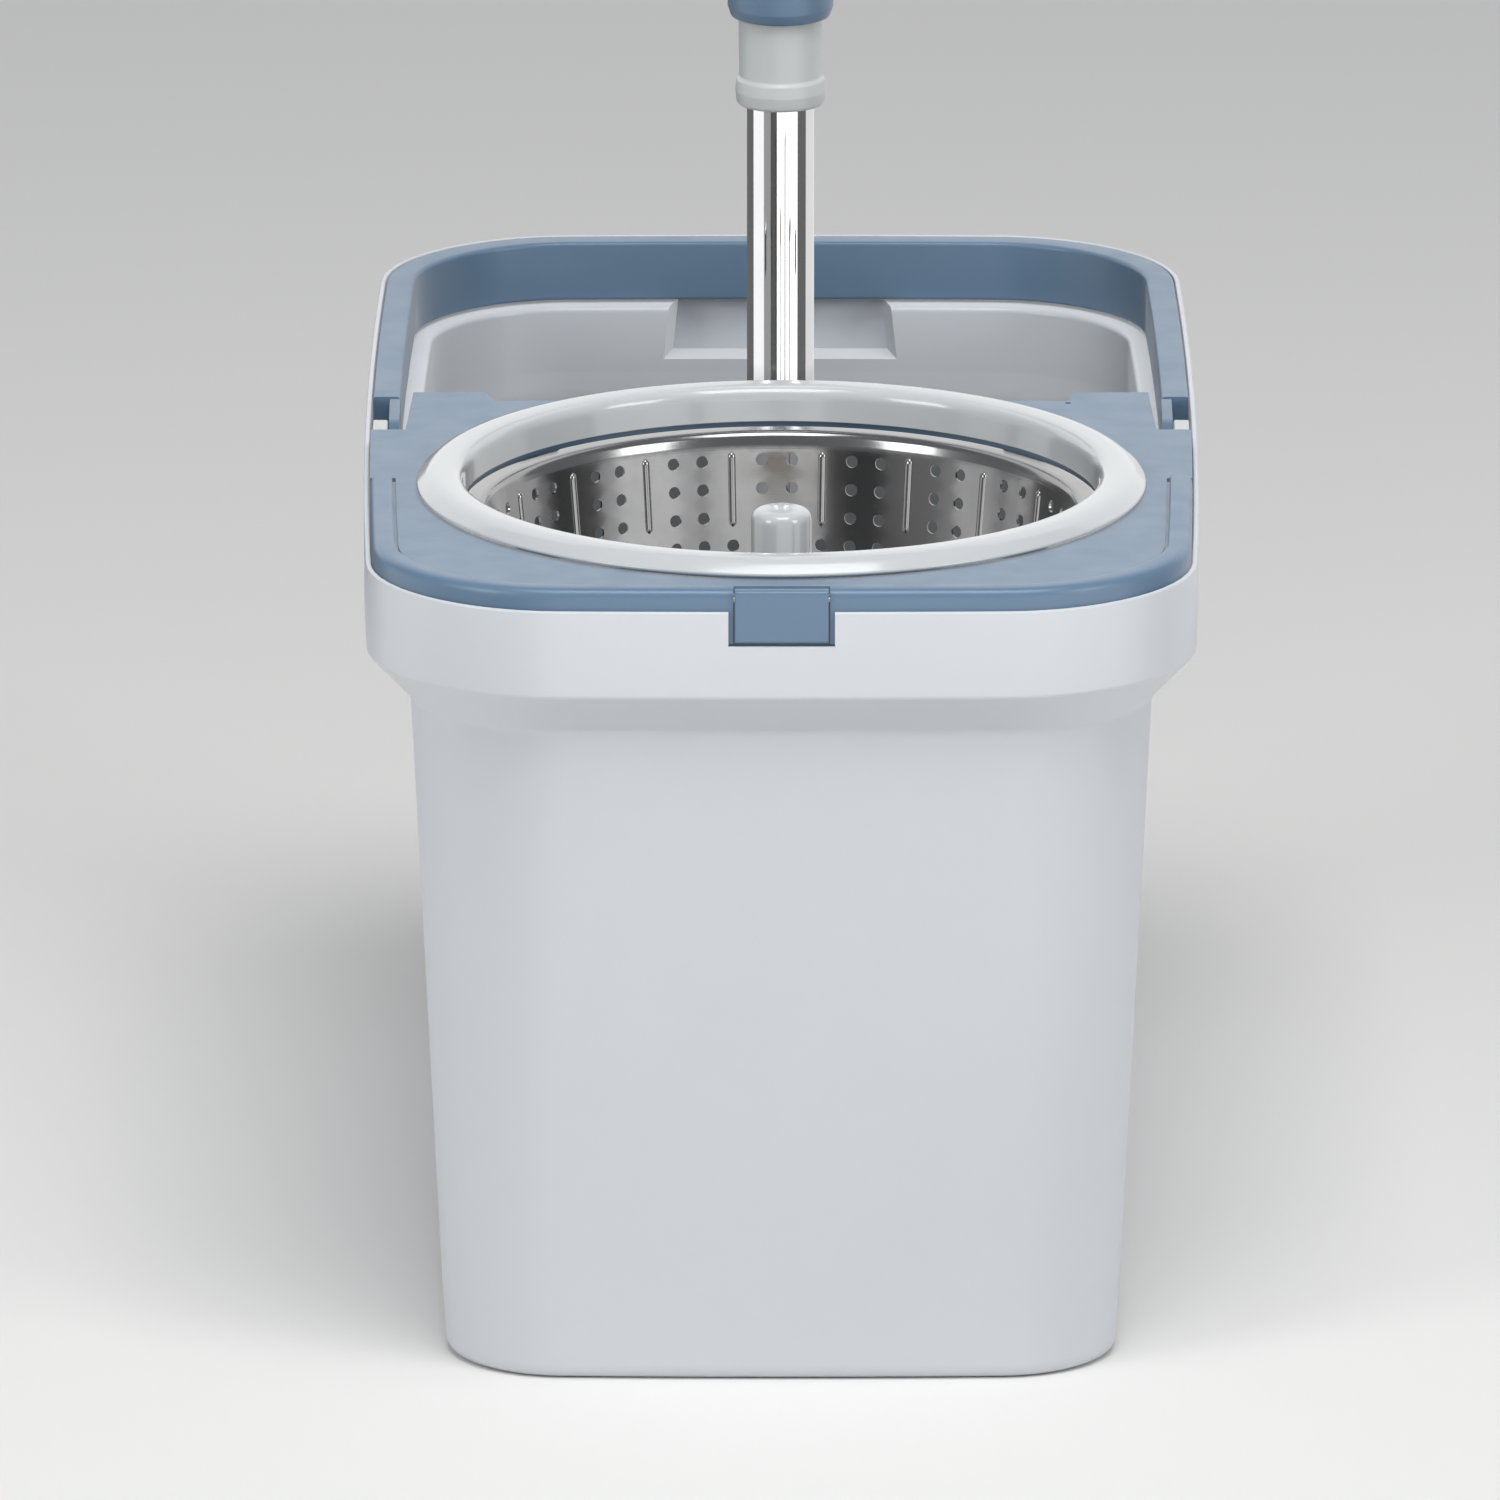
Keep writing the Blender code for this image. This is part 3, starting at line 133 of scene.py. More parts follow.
for name, place, aim, size, power in (
    ("softbox_top", (0.2, -1.3, 3.0), (0, -0.05, 0.2), 1.8, 62),
    ("softbox_left", (-2.5, -2.0, 1.4), (0, 0, 0.15), 1.2, 29),
    ("softbox_right", (2.6, -1.8, 1.4), (0, 0, 0.15), 1.2, 27),
):
    lamp_data = bpy.data.lights.new(name, "AREA")
    lamp_data.size = size
    lamp_data.energy = power
    lamp = add_object(name, lamp_data)
    lamp.location = place
    lamp.rotation_euler = (Vector(aim) - Vector(place)).to_track_quat("-Z", "Y").to_euler()

sky = bpy.data.worlds.new("studio_sky")
sky.use_nodes = True
sky.node_tree.nodes["Background"].inputs["Color"].default_value = (0.93, 0.96, 1.0, 1)
sky.node_tree.nodes["Background"].inputs["Strength"].default_value = 0.34
bpy.context.scene.world = sky
bpy.context.scene.view_settings.view_transform = "Standard"

# ---------- Bucket ----------
# One injection moulding in pale grey polypropylene: a tapered body, a deep collar with a bevel under it,
# a ledge inside that the deck and the bail lie over, a pouring recess at the back and a notch for the latch.
bucket_low, bucket_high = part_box("bucket_body")
RIM_WIDTH = bucket_high.x - bucket_low.x
RIM_LENGTH = bucket_high.y - bucket_low.y
RIM_HEIGHT = bucket_high.z
RIM_CORNER = 0.060
SIDE_BOW = 0.0045
END_BOW = 0.0025
WALL = 0.0026
RIM_WALL = 0.0016
BEVEL_INSET = 0.014
BEVEL_TOP = RIM_HEIGHT - 0.0285
BODY_TOP = BEVEL_TOP - 0.015
FOOT_INSET = 0.0245
LEDGE_Z = RIM_HEIGHT - 0.021
SPOUT_FLOOR = RIM_HEIGHT - 0.039
SPOUT_HALF = 0.040
NOTCH_HALF = 0.0170
NOTCH_DROP = 0.0115
FLOOR_THICK = 0.003
# How low and how high the cutting tools reach where they go right through the rim.
CUT_LOW, CUT_HIGH = 0.2, 0.4
BUCKET_GREY = (0.600, 0.625, 0.660, 1)
BUCKET_SCUFF = (0.530, 0.550, 0.575, 1)
# Below this height the bucket's inner faces are painted dark grey, as painted shade deep inside it; the fade
# is the wavy edge.
PAINTED_SHADE_TOP, PAINTED_SHADE_FADE = 0.205, 0.016
PAINTED_SHADE_GREY = (0.125, 0.132, 0.136, 1)


def soften(corners, steps=5, closed=False):
    """Rounds the corners of a line of (across, up, radius) points and returns (across, up) pairs."""
    made = []
    count = len(corners)
    for i, (across, up, radius) in enumerate(corners):
        here = Vector((across, up))
        if radius == 0 or (not closed and i in (0, count - 1)):
            made.append((across, up))
            continue
        before = Vector(corners[i - 1][:2]) - here
        after = Vector(corners[(i + 1) % count][:2]) - here
        half = before.angle(after) / 2
        reach = min(radius / math.tan(half), before.length * 0.48, after.length * 0.48)
        start, end = here + before.normalized() * reach, here + after.normalized() * reach
        for step in range(steps + 1):
            t = step / steps
            point = start * (1 - t) ** 2 + here * 2 * t * (1 - t) + end * t ** 2
            made.append((point.x, point.y))
    return made


def bucket_plan(inset, z, corner_steps=14, long_steps=10, short_steps=6):
    """The bucket's outline at an inset from the collar's face: round corners and slightly bowed sides."""
    half_x = RIM_WIDTH / 2 - SIDE_BOW - inset
    half_y = RIM_LENGTH / 2 - END_BOW - inset
    radius = max(RIM_CORNER - inset, 0.006)
    plan = []
    for quarter, (side_x, side_y) in enumerate(((1, 1), (-1, 1), (-1, -1), (1, -1))):
        for step in range(corner_steps + 1):
            angle = math.pi / 2 * (quarter + step / corner_steps)
            plan.append((side_x * (half_x - radius) + radius * math.cos(angle),
                         side_y * (half_y - radius) + radius * math.sin(angle)))
        x, y = plan[-1]
        if quarter % 2 == 0:
            plan += [(x * (1 - 2 * i / short_steps), y) for i in range(1, short_steps)]
        else:
            plan += [(x, y * (1 - 2 * i / long_steps)) for i in range(1, long_steps)]
    return [(x * (1 + SIDE_BOW / half_x * (1 - (y / half_y) ** 2)),
             y * (1 + END_BOW / half_y * (1 - (x / half_x) ** 2)), z) for x, y in plan]


def skin(bm, rings, hoop=False):
    """Faces through rings of equally many points; a hoop joins its last ring to its first."""
    loops = [[bm.verts.new(point) for point in ring] for ring in rings]
    pairs = list(zip(loops, loops[1:]))
    if hoop:
        pairs.append((loops[-1], loops[0]))
    else:
        bm.faces.new(loops[0])
        bm.faces.new(loops[-1])
    for one, other in pairs:
        for i in range(len(one)):
            j = (i + 1) % len(one)
            bm.faces.new((one[i], one[j], other[j], other[i]))


def object_from(bm, name):
    """Turns the faces outwards and makes the object."""
    bmesh.ops.recalc_face_normals(bm, faces=bm.faces)
    mesh = bpy.data.meshes.new(name)
    bm.to_mesh(mesh)
    bm.free()
    return add_object(name, mesh)


def solid_through(name, rings, hoop=False):
    """A closed solid through rings of points."""
    bm = bmesh.new()
    skin(bm, rings, hoop)
    return object_from(bm, name)


def settle(piece):
    """Fixes what the piece's modifiers do into its mesh."""
    graph = bpy.context.evaluated_depsgraph_get()
    settled = bpy.data.meshes.new_from_object(piece.evaluated_get(graph))
    piece.modifiers.clear()
    piece.data = settled
    return piece


def carve(piece, tool, operation="DIFFERENCE"):
    """Cuts, joins or trims a piece with a tool, which is then thrown away."""
    step = piece.modifiers.new("carve", "BOOLEAN")
    step.operation = operation
    step.solver = "EXACT"
    step.object = tool
    settle(piece)
    bpy.data.objects.remove(tool)
    return piece


def ease_edges(piece, width=0.0005, smooth=30, segments=3):
    """Moulded edges are never sharp: a small round on each, and smooth shading between."""
    clean = piece.modifiers.new("weld", "WELD")
    clean.merge_threshold = 0.00002
    round_off = piece.modifiers.new("round_edges", "BEVEL")
    round_off.width = width
    round_off.segments = segments
    round_off.limit_method = "ANGLE"
    round_off.angle_limit = math.radians(smooth)
    round_off.harden_normals = True
    piece.data.shade_smooth()
    return piece


def box_between(name, low, high):
    (x0, y0, z0), (x1, y1, z1) = low, high
    return solid_through(name, [[(x0, y0, z), (x1, y0, z), (x1, y1, z), (x0, y1, z)] for z in (z0, z1)])


def dress(piece, finish):
    piece.data.materials.clear()
    piece.data.materials.append(finish)
    return piece


def node_in(tree, kind, values=None, **settings):
    """A new node. Each of its inputs named in values is set to a value, or fed from another node's output."""
    made = tree.nodes.new(kind)
    for name, value in settings.items():
        setattr(made, name, value)
    for socket, value in (values or {}).items():
        if isinstance(value, bpy.types.NodeSocket):
            tree.links.new(value, made.inputs[socket])
        else:
            made.inputs[socket].default_value = value
    return made


def noise(tree, place, scale, detail, roughness=0.5):
    values = {"Vector": place, "Scale": scale, "Detail": detail, "Roughness": roughness}
    return node_in(tree, "ShaderNodeTexNoise", values).outputs["Fac"]


def ranged(tree, value, low, high, to_low=0.0, to_high=1.0):
    """Takes a value from one range to another and holds it there."""
    values = {"Value": value, "From Min": low, "From Max": high, "To Min": to_low, "To Max": to_high}
    return node_in(tree, "ShaderNodeMapRange", values, clamp=True).outputs["Result"]


def calc(tree, operation, first, second, clamp=False):
    values = {0: first, 1: second}
    return node_in(tree, "ShaderNodeMath", values, operation=operation, use_clamp=clamp).outputs["Value"]


def mixed(tree, share, first, second):
    values = {"Factor": share, "A": first, "B": second}
    return node_in(tree, "ShaderNodeMix", values, data_type="RGBA").outputs["Result"]


def surface_group(name, inputs):
    """A shader group with the inputs given, which puts out a colour, a roughness and a height."""
    group = bpy.data.node_groups.new(name, "ShaderNodeTree")
    for socket, value in inputs.items():
        kind = "NodeSocketFloat" if isinstance(value, float) else "NodeSocketColor"
        group.interface.new_socket(socket, in_out="INPUT", socket_type=kind).default_value = value
    group.interface.new_socket("Color", in_out="OUTPUT", socket_type="NodeSocketColor")
    group.interface.new_socket("Roughness", in_out="OUTPUT", socket_type="NodeSocketFloat")
    group.interface.new_socket("Height", in_out="OUTPUT", socket_type="NodeSocketFloat")
    return group


def moulding_group():
    """Moulded plastic: a faint flow mottle, rubbed edges, fine handling marks and an orange-peel skin."""
    group = surface_group("moulded_plastic", {
        "Color": (0.5, 0.5, 0.5, 1), "Worn Color": (0.4, 0.4, 0.4, 1), "Roughness": 0.35, "Wear": 0.3,
    })
    given = node_in(group, "NodeGroupInput").outputs
    place = node_in(group, "ShaderNodeTexCoord").outputs["Object"]
    mottle = noise(group, place, 9.0, 3.0, 0.6)
    marks = noise(group, place, 75.0, 2.0)
    peel = noise(group, place, 520.0, 2.0)
    edge = ranged(group, node_in(group, "ShaderNodeNewGeometry").outputs["Pointiness"], 0.60, 0.80)
    worn = calc(group, "MULTIPLY", calc(group, "MULTIPLY", edge, marks), given["Wear"], clamp=True)
    shade = ranged(group, mottle, 0.3, 0.7, 0.0, 0.16)
    toned = mixed(group, shade, given["Color"], given["Worn Color"])
    rough = calc(group, "ADD", given["Roughness"], ranged(group, marks, 0.3, 0.7, -0.03, 0.04), clamp=True)
    node_in(group, "NodeGroupOutput", {
        "Color": mixed(group, worn, toned, given["Worn Color"]), "Roughness": rough,
        "Height": calc(group, "ADD", calc(group, "MULTIPLY", peel, 0.25), mottle),
    })
    return group


def surfaced(name, group, values, bump, relief_depth):
    """A material whose colour, roughness and relief come from a surface group with its own values."""
    finish, shader = new_finish(name)
    tree = finish.node_tree
    surface = node_in(tree, "ShaderNodeGroup", node_tree=group)
    for socket, value in values.items():
        surface.inputs[socket].default_value = value
    relief = node_in(tree, "ShaderNodeBump", {
        "Strength": bump, "Distance": relief_depth, "Height": surface.outputs["Height"],
    })
    tree.links.new(surface.outputs["Color"], shader.inputs["Base Color"])
    tree.links.new(surface.outputs["Roughness"], shader.inputs["Roughness"])
    tree.links.new(relief.outputs["Normal"], shader.inputs["Normal"])
    return finish, shader


moulded = moulding_group()


def plastic(name, colour, worn, roughness, wear=0.3, bump=0.05, coat=0.0):
    values = {"Color": colour, "Worn Color": worn, "Roughness": roughness, "Wear": wear}
    finish, shader = surfaced(name, moulded, values, bump, 0.0004)
    shader.inputs["IOR"].default_value = 1.49
    shader.inputs["Coat Weight"].default_value = coat
    shader.inputs["Coat Roughness"].default_value = 0.08
    return finish


def paint_shade_inside(finish, top=PAINTED_SHADE_TOP, grey=PAINTED_SHADE_GREY, all_round=False):
    """Painted shade: darker grey below a height, with a wavy edge, on a vessel's inner faces, or all round.
    """
    tree = finish.node_tree
    base = tree.nodes["Principled BSDF"].inputs["Base Color"]
    place = node_in(tree, "ShaderNodeTexCoord").outputs["Object"]
    parts = node_in(tree, "ShaderNodeSeparateXYZ", {"Vector": place}).outputs
    waves = calc(tree, "MULTIPLY", noise(tree, place, 24.0, 4.0), PAINTED_SHADE_FADE)
    shade_mask = ranged(tree, calc(tree, "ADD", parts["Z"], waves), top + PAINTED_SHADE_FADE, top)
    if not all_round:
        # An inner face looks back at the upright axis, and the floor looks up.
        away = node_in(tree, "ShaderNodeCombineXYZ", {"X": parts["X"], "Y": parts["Y"], "Z": -0.05})
        normal = node_in(tree, "ShaderNodeNewGeometry").outputs["Normal"]
        facing = node_in(tree, "ShaderNodeVectorMath", {0: away.outputs["Vector"], 1: normal},
                         operation="DOT_PRODUCT")
        shade_mask = calc(tree, "MULTIPLY", ranged(tree, facing.outputs["Value"], 0.0, -0.02), shade_mask)
    # Painted shade: the base colour is mixed towards the grey below the given height.
    shaded_colour = mixed(tree, shade_mask, base.links[0].from_socket, grey)
    tree.links.new(shaded_colour, base)


bucket_finish = plastic("bucket_polypropylene", BUCKET_GREY, BUCKET_SCUFF, 0.33, wear=0.25, bump=0.02)
# The bucket's inner faces are painted darker towards the floor, as painted shade.
paint_shade_inside(bucket_finish)
inner_inset = BEVEL_INSET + WALL
bucket_profile = soften([
    (FOOT_INSET + 0.020, 0, 0), (FOOT_INSET, 0, 0.0055), (BEVEL_INSET, BODY_TOP, 0.004),
    (0, BEVEL_TOP, 0.0025), (0, RIM_HEIGHT, 0.0008), (RIM_WALL, RIM_HEIGHT, 0.0006),
    (RIM_WALL, LEDGE_Z, 0.001), (inner_inset, LEDGE_Z, 0.002), (inner_inset, BODY_TOP, 0.004),
    (FOOT_INSET + WALL, FLOOR_THICK, 0.009), (FOOT_INSET + 0.022, FLOOR_THICK, 0),
])
bucket = solid_through("bucket_shell", [bucket_plan(inset, z) for inset, z in bucket_profile])
rear = RIM_LENGTH / 2
spout_case = solid_through("spout_case", [
    [(-SPOUT_HALF - 0.004, rear - inner_inset, z), (SPOUT_HALF + 0.004, rear - inner_inset, z),
     (SPOUT_HALF, rear - 0.001, z), (-SPOUT_HALF, rear - 0.001, z)]
    for z in (SPOUT_FLOOR - 0.004, BEVEL_TOP + 0.001)
])
carve(bucket, spout_case, "UNION")
spout_cut = solid_through("spout_cut", [
    [(-half, rear - inner_inset - 0.004, z), (half, rear - inner_inset - 0.004, z),
     (half - 0.004, rear - RIM_WALL - 0.001, z), (-half + 0.004, rear - RIM_WALL - 0.001, z)]
    for half, z in ((SPOUT_HALF, SPOUT_FLOOR), (SPOUT_HALF - 0.002, LEDGE_Z + 0.001))
])
carve(bucket, spout_cut)
carve(bucket, box_between("latch_notch", (-NOTCH_HALF, -rear - 0.002, RIM_HEIGHT - NOTCH_DROP),
                          (NOTCH_HALF, -rear + RIM_WALL + 0.001, CUT_HIGH)))
ease_edges(bucket)
dress(bucket, bucket_finish)
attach(bucket, "bucket")
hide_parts("bucket_body")

# ---------- Cradle and axle ----------
# A grey plastic cross screwed up under the deck carries a plated steel axle, on which the basket turns. The
# screws, pins, axle and drive rod are plated steel; the washer and the basket's bushes are sintered bronze.
LIGHT_GREY = (0.40, 0.42, 0.45, 1)
cradle_finish = plastic("cradle_plastic", LIGHT_GREY, (0.32, 0.33, 0.35, 1), 0.42)
dark_finish = plastic("hub_plastic", (0.045, 0.048, 0.052, 1), (0.09, 0.09, 0.095, 1), 0.45)


def drawn_metal_group():
    """Drawn and rolled metal: fine streaks that run round the piece, a cloudy polish and water spots."""
    group = surface_group("drawn_metal", {
        "Color": (0.6, 0.6, 0.6, 1), "Streak Color": (0.4, 0.4, 0.4, 1), "Roughness": 0.2, "Streaks": 1600.0,
        "Spots": 0.1,
    })
    given = node_in(group, "NodeGroupInput").outputs
    place = node_in(group, "ShaderNodeTexCoord").outputs["Object"]
    upright = node_in(group, "ShaderNodeSeparateXYZ", {"Vector": place}).outputs["Z"]
    streaks = node_in(group, "ShaderNodeTexNoise", {"W": upright, "Scale": given["Streaks"], "Detail": 2.0},
                      noise_dimensions="1D")
    cloud = noise(group, place, 26.0, 4.0, 0.6)
    spots = node_in(group, "ShaderNodeTexVoronoi", {"Vector": place, "Scale": 130.0}).outputs["Distance"]
    spotted = calc(group, "MULTIPLY", ranged(group, spots, 0.10, 0.16, 1.0, 0.0), given["Spots"])
    shade = ranged(group, cloud, 0.3, 0.75, 0.0, 0.45)
    hazed = calc(group, "ADD", given["Roughness"], ranged(group, cloud, 0.3, 0.7, -0.03, 0.06))
    node_in(group, "NodeGroupOutput", {
        "Color": mixed(group, shade, given["Color"], given["Streak Color"]),
        "Roughness": calc(group, "ADD", hazed, spotted, clamp=True), "Height": streaks.outputs["Fac"],
    })
    return group


drawn_metal = drawn_metal_group()


def metal(name, colour, streak, roughness, streaks=1600.0, spots=0.1, bump=0.04, brushed=0.0):
    values = {"Color": colour, "Streak Color": streak, "Roughness": roughness, "Streaks": streaks,
              "Spots": spots}
    finish, shader = surfaced(name, drawn_metal, values, bump, 0.0002)
    shader.inputs["Metallic"].default_value = 1.0
    shader.inputs["Anisotropic"].default_value = brushed
    return finish


plated = metal("zinc_plate", (0.55, 0.55, 0.54, 1), (0.40, 0.40, 0.39, 1), 0.34)
bronze = metal("sintered_bronze", (0.52, 0.34, 0.16, 1), (0.36, 0.22, 0.10, 1), 0.42)
dress(nodes["basket_cradle"], cradle_finish)
dress(nodes["basket_hub"], dark_finish)
for name in ("spindle_axle", "latch_pin", "knuckle_pin", "spiral_rod",
             *(f"cradle_screw_{i}" for i in (1, 2, 3, 4)), *(f"hub_screw_{i}" for i in (1, 2, 3))):
    dress(nodes[name], plated)
for name in ("thrust_washer", "lower_bush", "upper_bush"):
    dress(nodes[name], bronze)

# ---------- Spin basket ----------
# Deep-drawn stainless sheet, rolled over at the lip. Its wall is pierced in three columns to a sector, and in
# the upper rows every third column is a pressed upright rib instead of holes. The floor is pierced in rings.
basket_low, basket_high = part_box("spin_basket")
BASKET_AXIS = Vector((0, (basket_low.y + basket_high.y) / 2, 0))
LIP_R = (basket_high.x - basket_low.x) / 2
BASKET_TOP, BASKET_FLOOR = basket_high.z, basket_low.z + 0.0005
WALL_R, FOOT_R = 0.0955, 0.0865
SHEET = 0.0008
SHOULDER = 0.0045
WALL_TOP, WALL_FOOT = BASKET_TOP - SHOULDER, BASKET_FLOOR + 0.008
FOOT_ROUND = 0.0075
# A cell of sheet has this many faces along each side.
CELL = 4
SECTORS = 20
COLUMNS = SECTORS * 3
TURNED_COLUMNS = 0.13
WALL_ROWS = 9
RIB_ROWS = 3
HOLE_R = 0.00205
RIB_HALF = 0.0013
RIB_PROUD = 0.0010
RIB_END = 0.0016
# A rib's two edges lie this far under the wall's face, as a share of how proud it stands.
RIB_ROOT = -0.4
RIB_STEPS = 24
stainless = metal("stainless_sheet", (0.30, 0.30, 0.30, 1), (0.17, 0.17, 0.175, 1), 0.165, streaks=2600.0,
                  spots=0.03, bump=0.08, brushed=0.4)


def basket_profile():
    """(radius, height, kind) down the sheet's middle; a kind fills the band from there to the next."""
    lip = soften([
        (LIP_R - 0.0004, BASKET_TOP - 0.0040, 0), (LIP_R - 0.0004, BASKET_TOP - 0.0004, 0.0022),
        (WALL_R + 0.0012, BASKET_TOP - 0.0004, 0.0036), (WALL_R, WALL_TOP, 0),
    ], steps=8)
    bands = [(r, z, "plain") for r, z in lip[:-1]]
    for row in range(WALL_ROWS):
        radius = WALL_R + (FOOT_R - WALL_R) * row / WALL_ROWS
        z = WALL_TOP - (WALL_TOP - WALL_FOOT) / WALL_ROWS * row
        bands.append((radius, z, "ribs" if row < RIB_ROWS else "holes"))
    middle_r = FOOT_R - FOOT_ROUND
    for step in range(6):
        turn = math.pi / 2 * step / 5
        radius, z = middle_r + FOOT_ROUND * math.cos(turn), WALL_FOOT - FOOT_ROUND * math.sin(turn)
        bands.append((radius, z, "plain"))
    bands += [(radius, BASKET_FLOOR, "holes") for radius in (0.0775, 0.0695, 0.0615)]
    bands += [(radius, BASKET_FLOOR, "plain") for radius in (0.0535, 0.028, 0.0145)]
    return bands


def wall_radius(z):
    """The wall's radius at a height between the shoulder and the round of the floor."""
    return WALL_R + (FOOT_R - WALL_R) * (WALL_TOP - z) / (WALL_TOP - WALL_FOOT)


def round_axis(axis, radius, turn, z):
    """The point at a radius, a turn and a height round an upright axis."""
    return axis + Vector((radius * math.cos(turn), radius * math.sin(turn), z))


def pierced_cell(bm, corner_at, hole_r):
    """One cell of sheet with a round hole: a ring of faces between the cell's edge and the hole."""
    half = CELL / 2
    edge = [(u, 0) for u in range(CELL)] + [(CELL, v) for v in range(CELL)]
    edge += [(u, CELL) for u in range(CELL, 0, -1)] + [(0, v) for v in range(CELL, 0, -1)]
    rim = [bm.verts.new(corner_at(u, v)) for u, v in edge]
    middle = corner_at(half, half)
    across = (corner_at(CELL, half) - corner_at(0, half)).normalized()
    down = (corner_at(half, CELL) - corner_at(half, 0)).normalized()
    hole = []
    for u, v in edge:
        turn = math.atan2(v - half, u - half)
        hole.append(bm.verts.new(middle + (across * math.cos(turn) + down * math.sin(turn)) * hole_r))
    for i in range(len(rim)):
        j = (i + 1) % len(rim)
        bm.faces.new((rim[i], rim[j], hole[j], hole[i]))


def whole_cell(bm, corner_at):
    """One cell of sheet with no hole, a grid of faces."""
    grid = [[bm.verts.new(corner_at(u, v)) for u in range(CELL + 1)] for v in range(CELL + 1)]
    for v in range(CELL):
        for u in range(CELL):
            bm.faces.new((grid[v][u], grid[v][u + 1], grid[v + 1][u + 1], grid[v + 1][u]))


def rib(bm, turn, top, foot):
    """A pressed rib: a low half-round bead on the wall's inside, rounded off at both ends."""
    arc = [(-math.cos(math.pi * i / 8), math.sin(math.pi * i / 8)) for i in range(9)]
    rings = []
    for step in range(RIB_STEPS + 1):
        z = top + (foot - top) * step / RIB_STEPS
        from_end = min(top - z, z - foot, RIB_END) / RIB_END
        swell = math.sqrt(max(0.0, 1 - (1 - from_end) ** 2)) * 0.97 + 0.03
        ring = []
        for side, proud in [(-1, RIB_ROOT)] + arc + [(1, RIB_ROOT)]:
            radius = wall_radius(z) - SHEET / 2 - RIB_PROUD * (proud if proud < 0 else proud * swell)
            ring.append(round_axis(BASKET_AXIS, radius, turn + side * RIB_HALF * swell / radius, z))
        rings.append(ring)
    skin(bm, rings)


def column_turn(columns):
    """How far round the basket a number of columns is, with column 0 near the front."""
    return 2 * math.pi * (columns + TURNED_COLUMNS) / COLUMNS - math.pi / 2


bm = bmesh.new()
bands = basket_profile()
for (r0, z0, kind), (r1, z1, _) in zip(bands, bands[1:]):
    for column in range(COLUMNS):
        def corner_at(u, v, r0=r0, z0=z0, r1=r1, z1=z1, column=column):
            radius, z = r0 + (r1 - r0) * v / CELL, z0 + (z1 - z0) * v / CELL
            return round_axis(BASKET_AXIS, radius, column_turn(column + u / CELL), z)
        if kind == "plain" or (kind == "ribs" and column % 3 == 1):
            whole_cell(bm, corner_at)
        else:
            pierced_cell(bm, corner_at, min(HOLE_R, math.pi * (r0 + r1) / COLUMNS * 0.24))
bmesh.ops.remove_doubles(bm, verts=bm.verts, dist=0.00003)
basket = object_from(bm, "wringer_basket")
basket.data.shade_smooth()
thicken = basket.modifiers.new("sheet", "SOLIDIFY")
thicken.thickness = SHEET
thicken.offset = 0
settle(basket)
bm = bmesh.new()
bm.from_mesh(basket.data)
rib_top = WALL_TOP - 0.0015
rib_foot = rib_top - (WALL_TOP - WALL_FOOT) * RIB_ROWS / WALL_ROWS + 0.003
for sector in range(SECTORS):
    rib(bm, column_turn(sector * 3 + 1.5), rib_top, rib_foot)
bmesh.ops.recalc_face_normals(bm, faces=bm.faces)
bm.to_mesh(basket.data)
bm.free()
basket.data.shade_smooth()
basket.data.set_sharp_from_angle(angle=math.radians(50))
dress(basket, stainless)
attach(basket, "basket")
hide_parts("spin_basket")

# ---------- Centre post ----------
# A white moulded sleeve over the axle, with a domed top and a broad flange screwed down on the basket's
# floor. The ring, the bail's lugs and the mop's plate and knuckle are moulded in the same glossy white.
post_low, post_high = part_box("centre_post")
POST_R = 0.0098
FLANGE_R = (post_high.x - post_low.x) / 2
WHITE = (0.54, 0.56, 0.57, 1)
WHITE_WORN = (0.58, 0.59, 0.60, 1)
white_finish = plastic("gloss_white_plastic", WHITE, WHITE_WORN, 0.16, wear=0.15, bump=0.02, coat=0.3)


def turn_on(name, profile, centre, steps=96, hoop=False):
    """A turned or spun piece: the (radius, height) line swept round the upright through centre."""
    rings = [[round_axis(centre, radius, 2 * math.pi * i / steps, z) for i in range(steps)]
             for radius, z in profile]
    made = solid_through(name, rings, hoop)
    made.data.shade_smooth()
    made.data.set_sharp_from_angle(angle=math.radians(40))
    return made


post = turn_on("post_sleeve", soften([
    (0.0072, post_low.z, 0), (FLANGE_R, post_low.z, 0.0004), (FLANGE_R, post_low.z + 0.003, 0.001),
    (POST_R + 0.003, post_low.z + 0.005, 0.004), (POST_R, post_low.z + 0.012, 0.004),
    (POST_R, post_high.z - 0.0005, 0.0045), (0.0015, post_high.z, 0),
], steps=8), BASKET_AXIS, steps=64)
dress(post, white_finish)
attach(post, "basket")
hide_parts("centre_post")

# ---------- Deck ----------
# The lid over the spin end, moulded in slate blue with a fine satin skin. It drops inside the collar, stands
# on the ledge by its skirt, and steps back behind the ring where the bail's arms pass it.
deck_low, deck_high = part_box("deck_plate")
DECK_TOP = deck_high.z
DECK_INSET = RIM_WALL + 0.0004
SKIRT = 0.0025
SHOULDER_Y = -0.035
NECK_HALF = 0.121
DECK_REAR = deck_high.y
DECK_STEP_X, DECK_STEP_Y = 0.097, 0.002
RING_R = 0.1185
TRIM_END_Y = -0.098
TRIM_TOP = RIM_HEIGHT + 0.007
TRIM_WIDTH = 0.0072
TRIM_FLANGE = 0.0025
RUNNING = 0.0003
SEAM = 0.0010
BLUE = (0.112, 0.188, 0.282, 1)
BLUE_WORN = (0.150, 0.228, 0.322, 1)
blue_finish = plastic("slate_blue_plastic", BLUE, BLUE_WORN, 0.34, wear=0.35, bump=0.02)

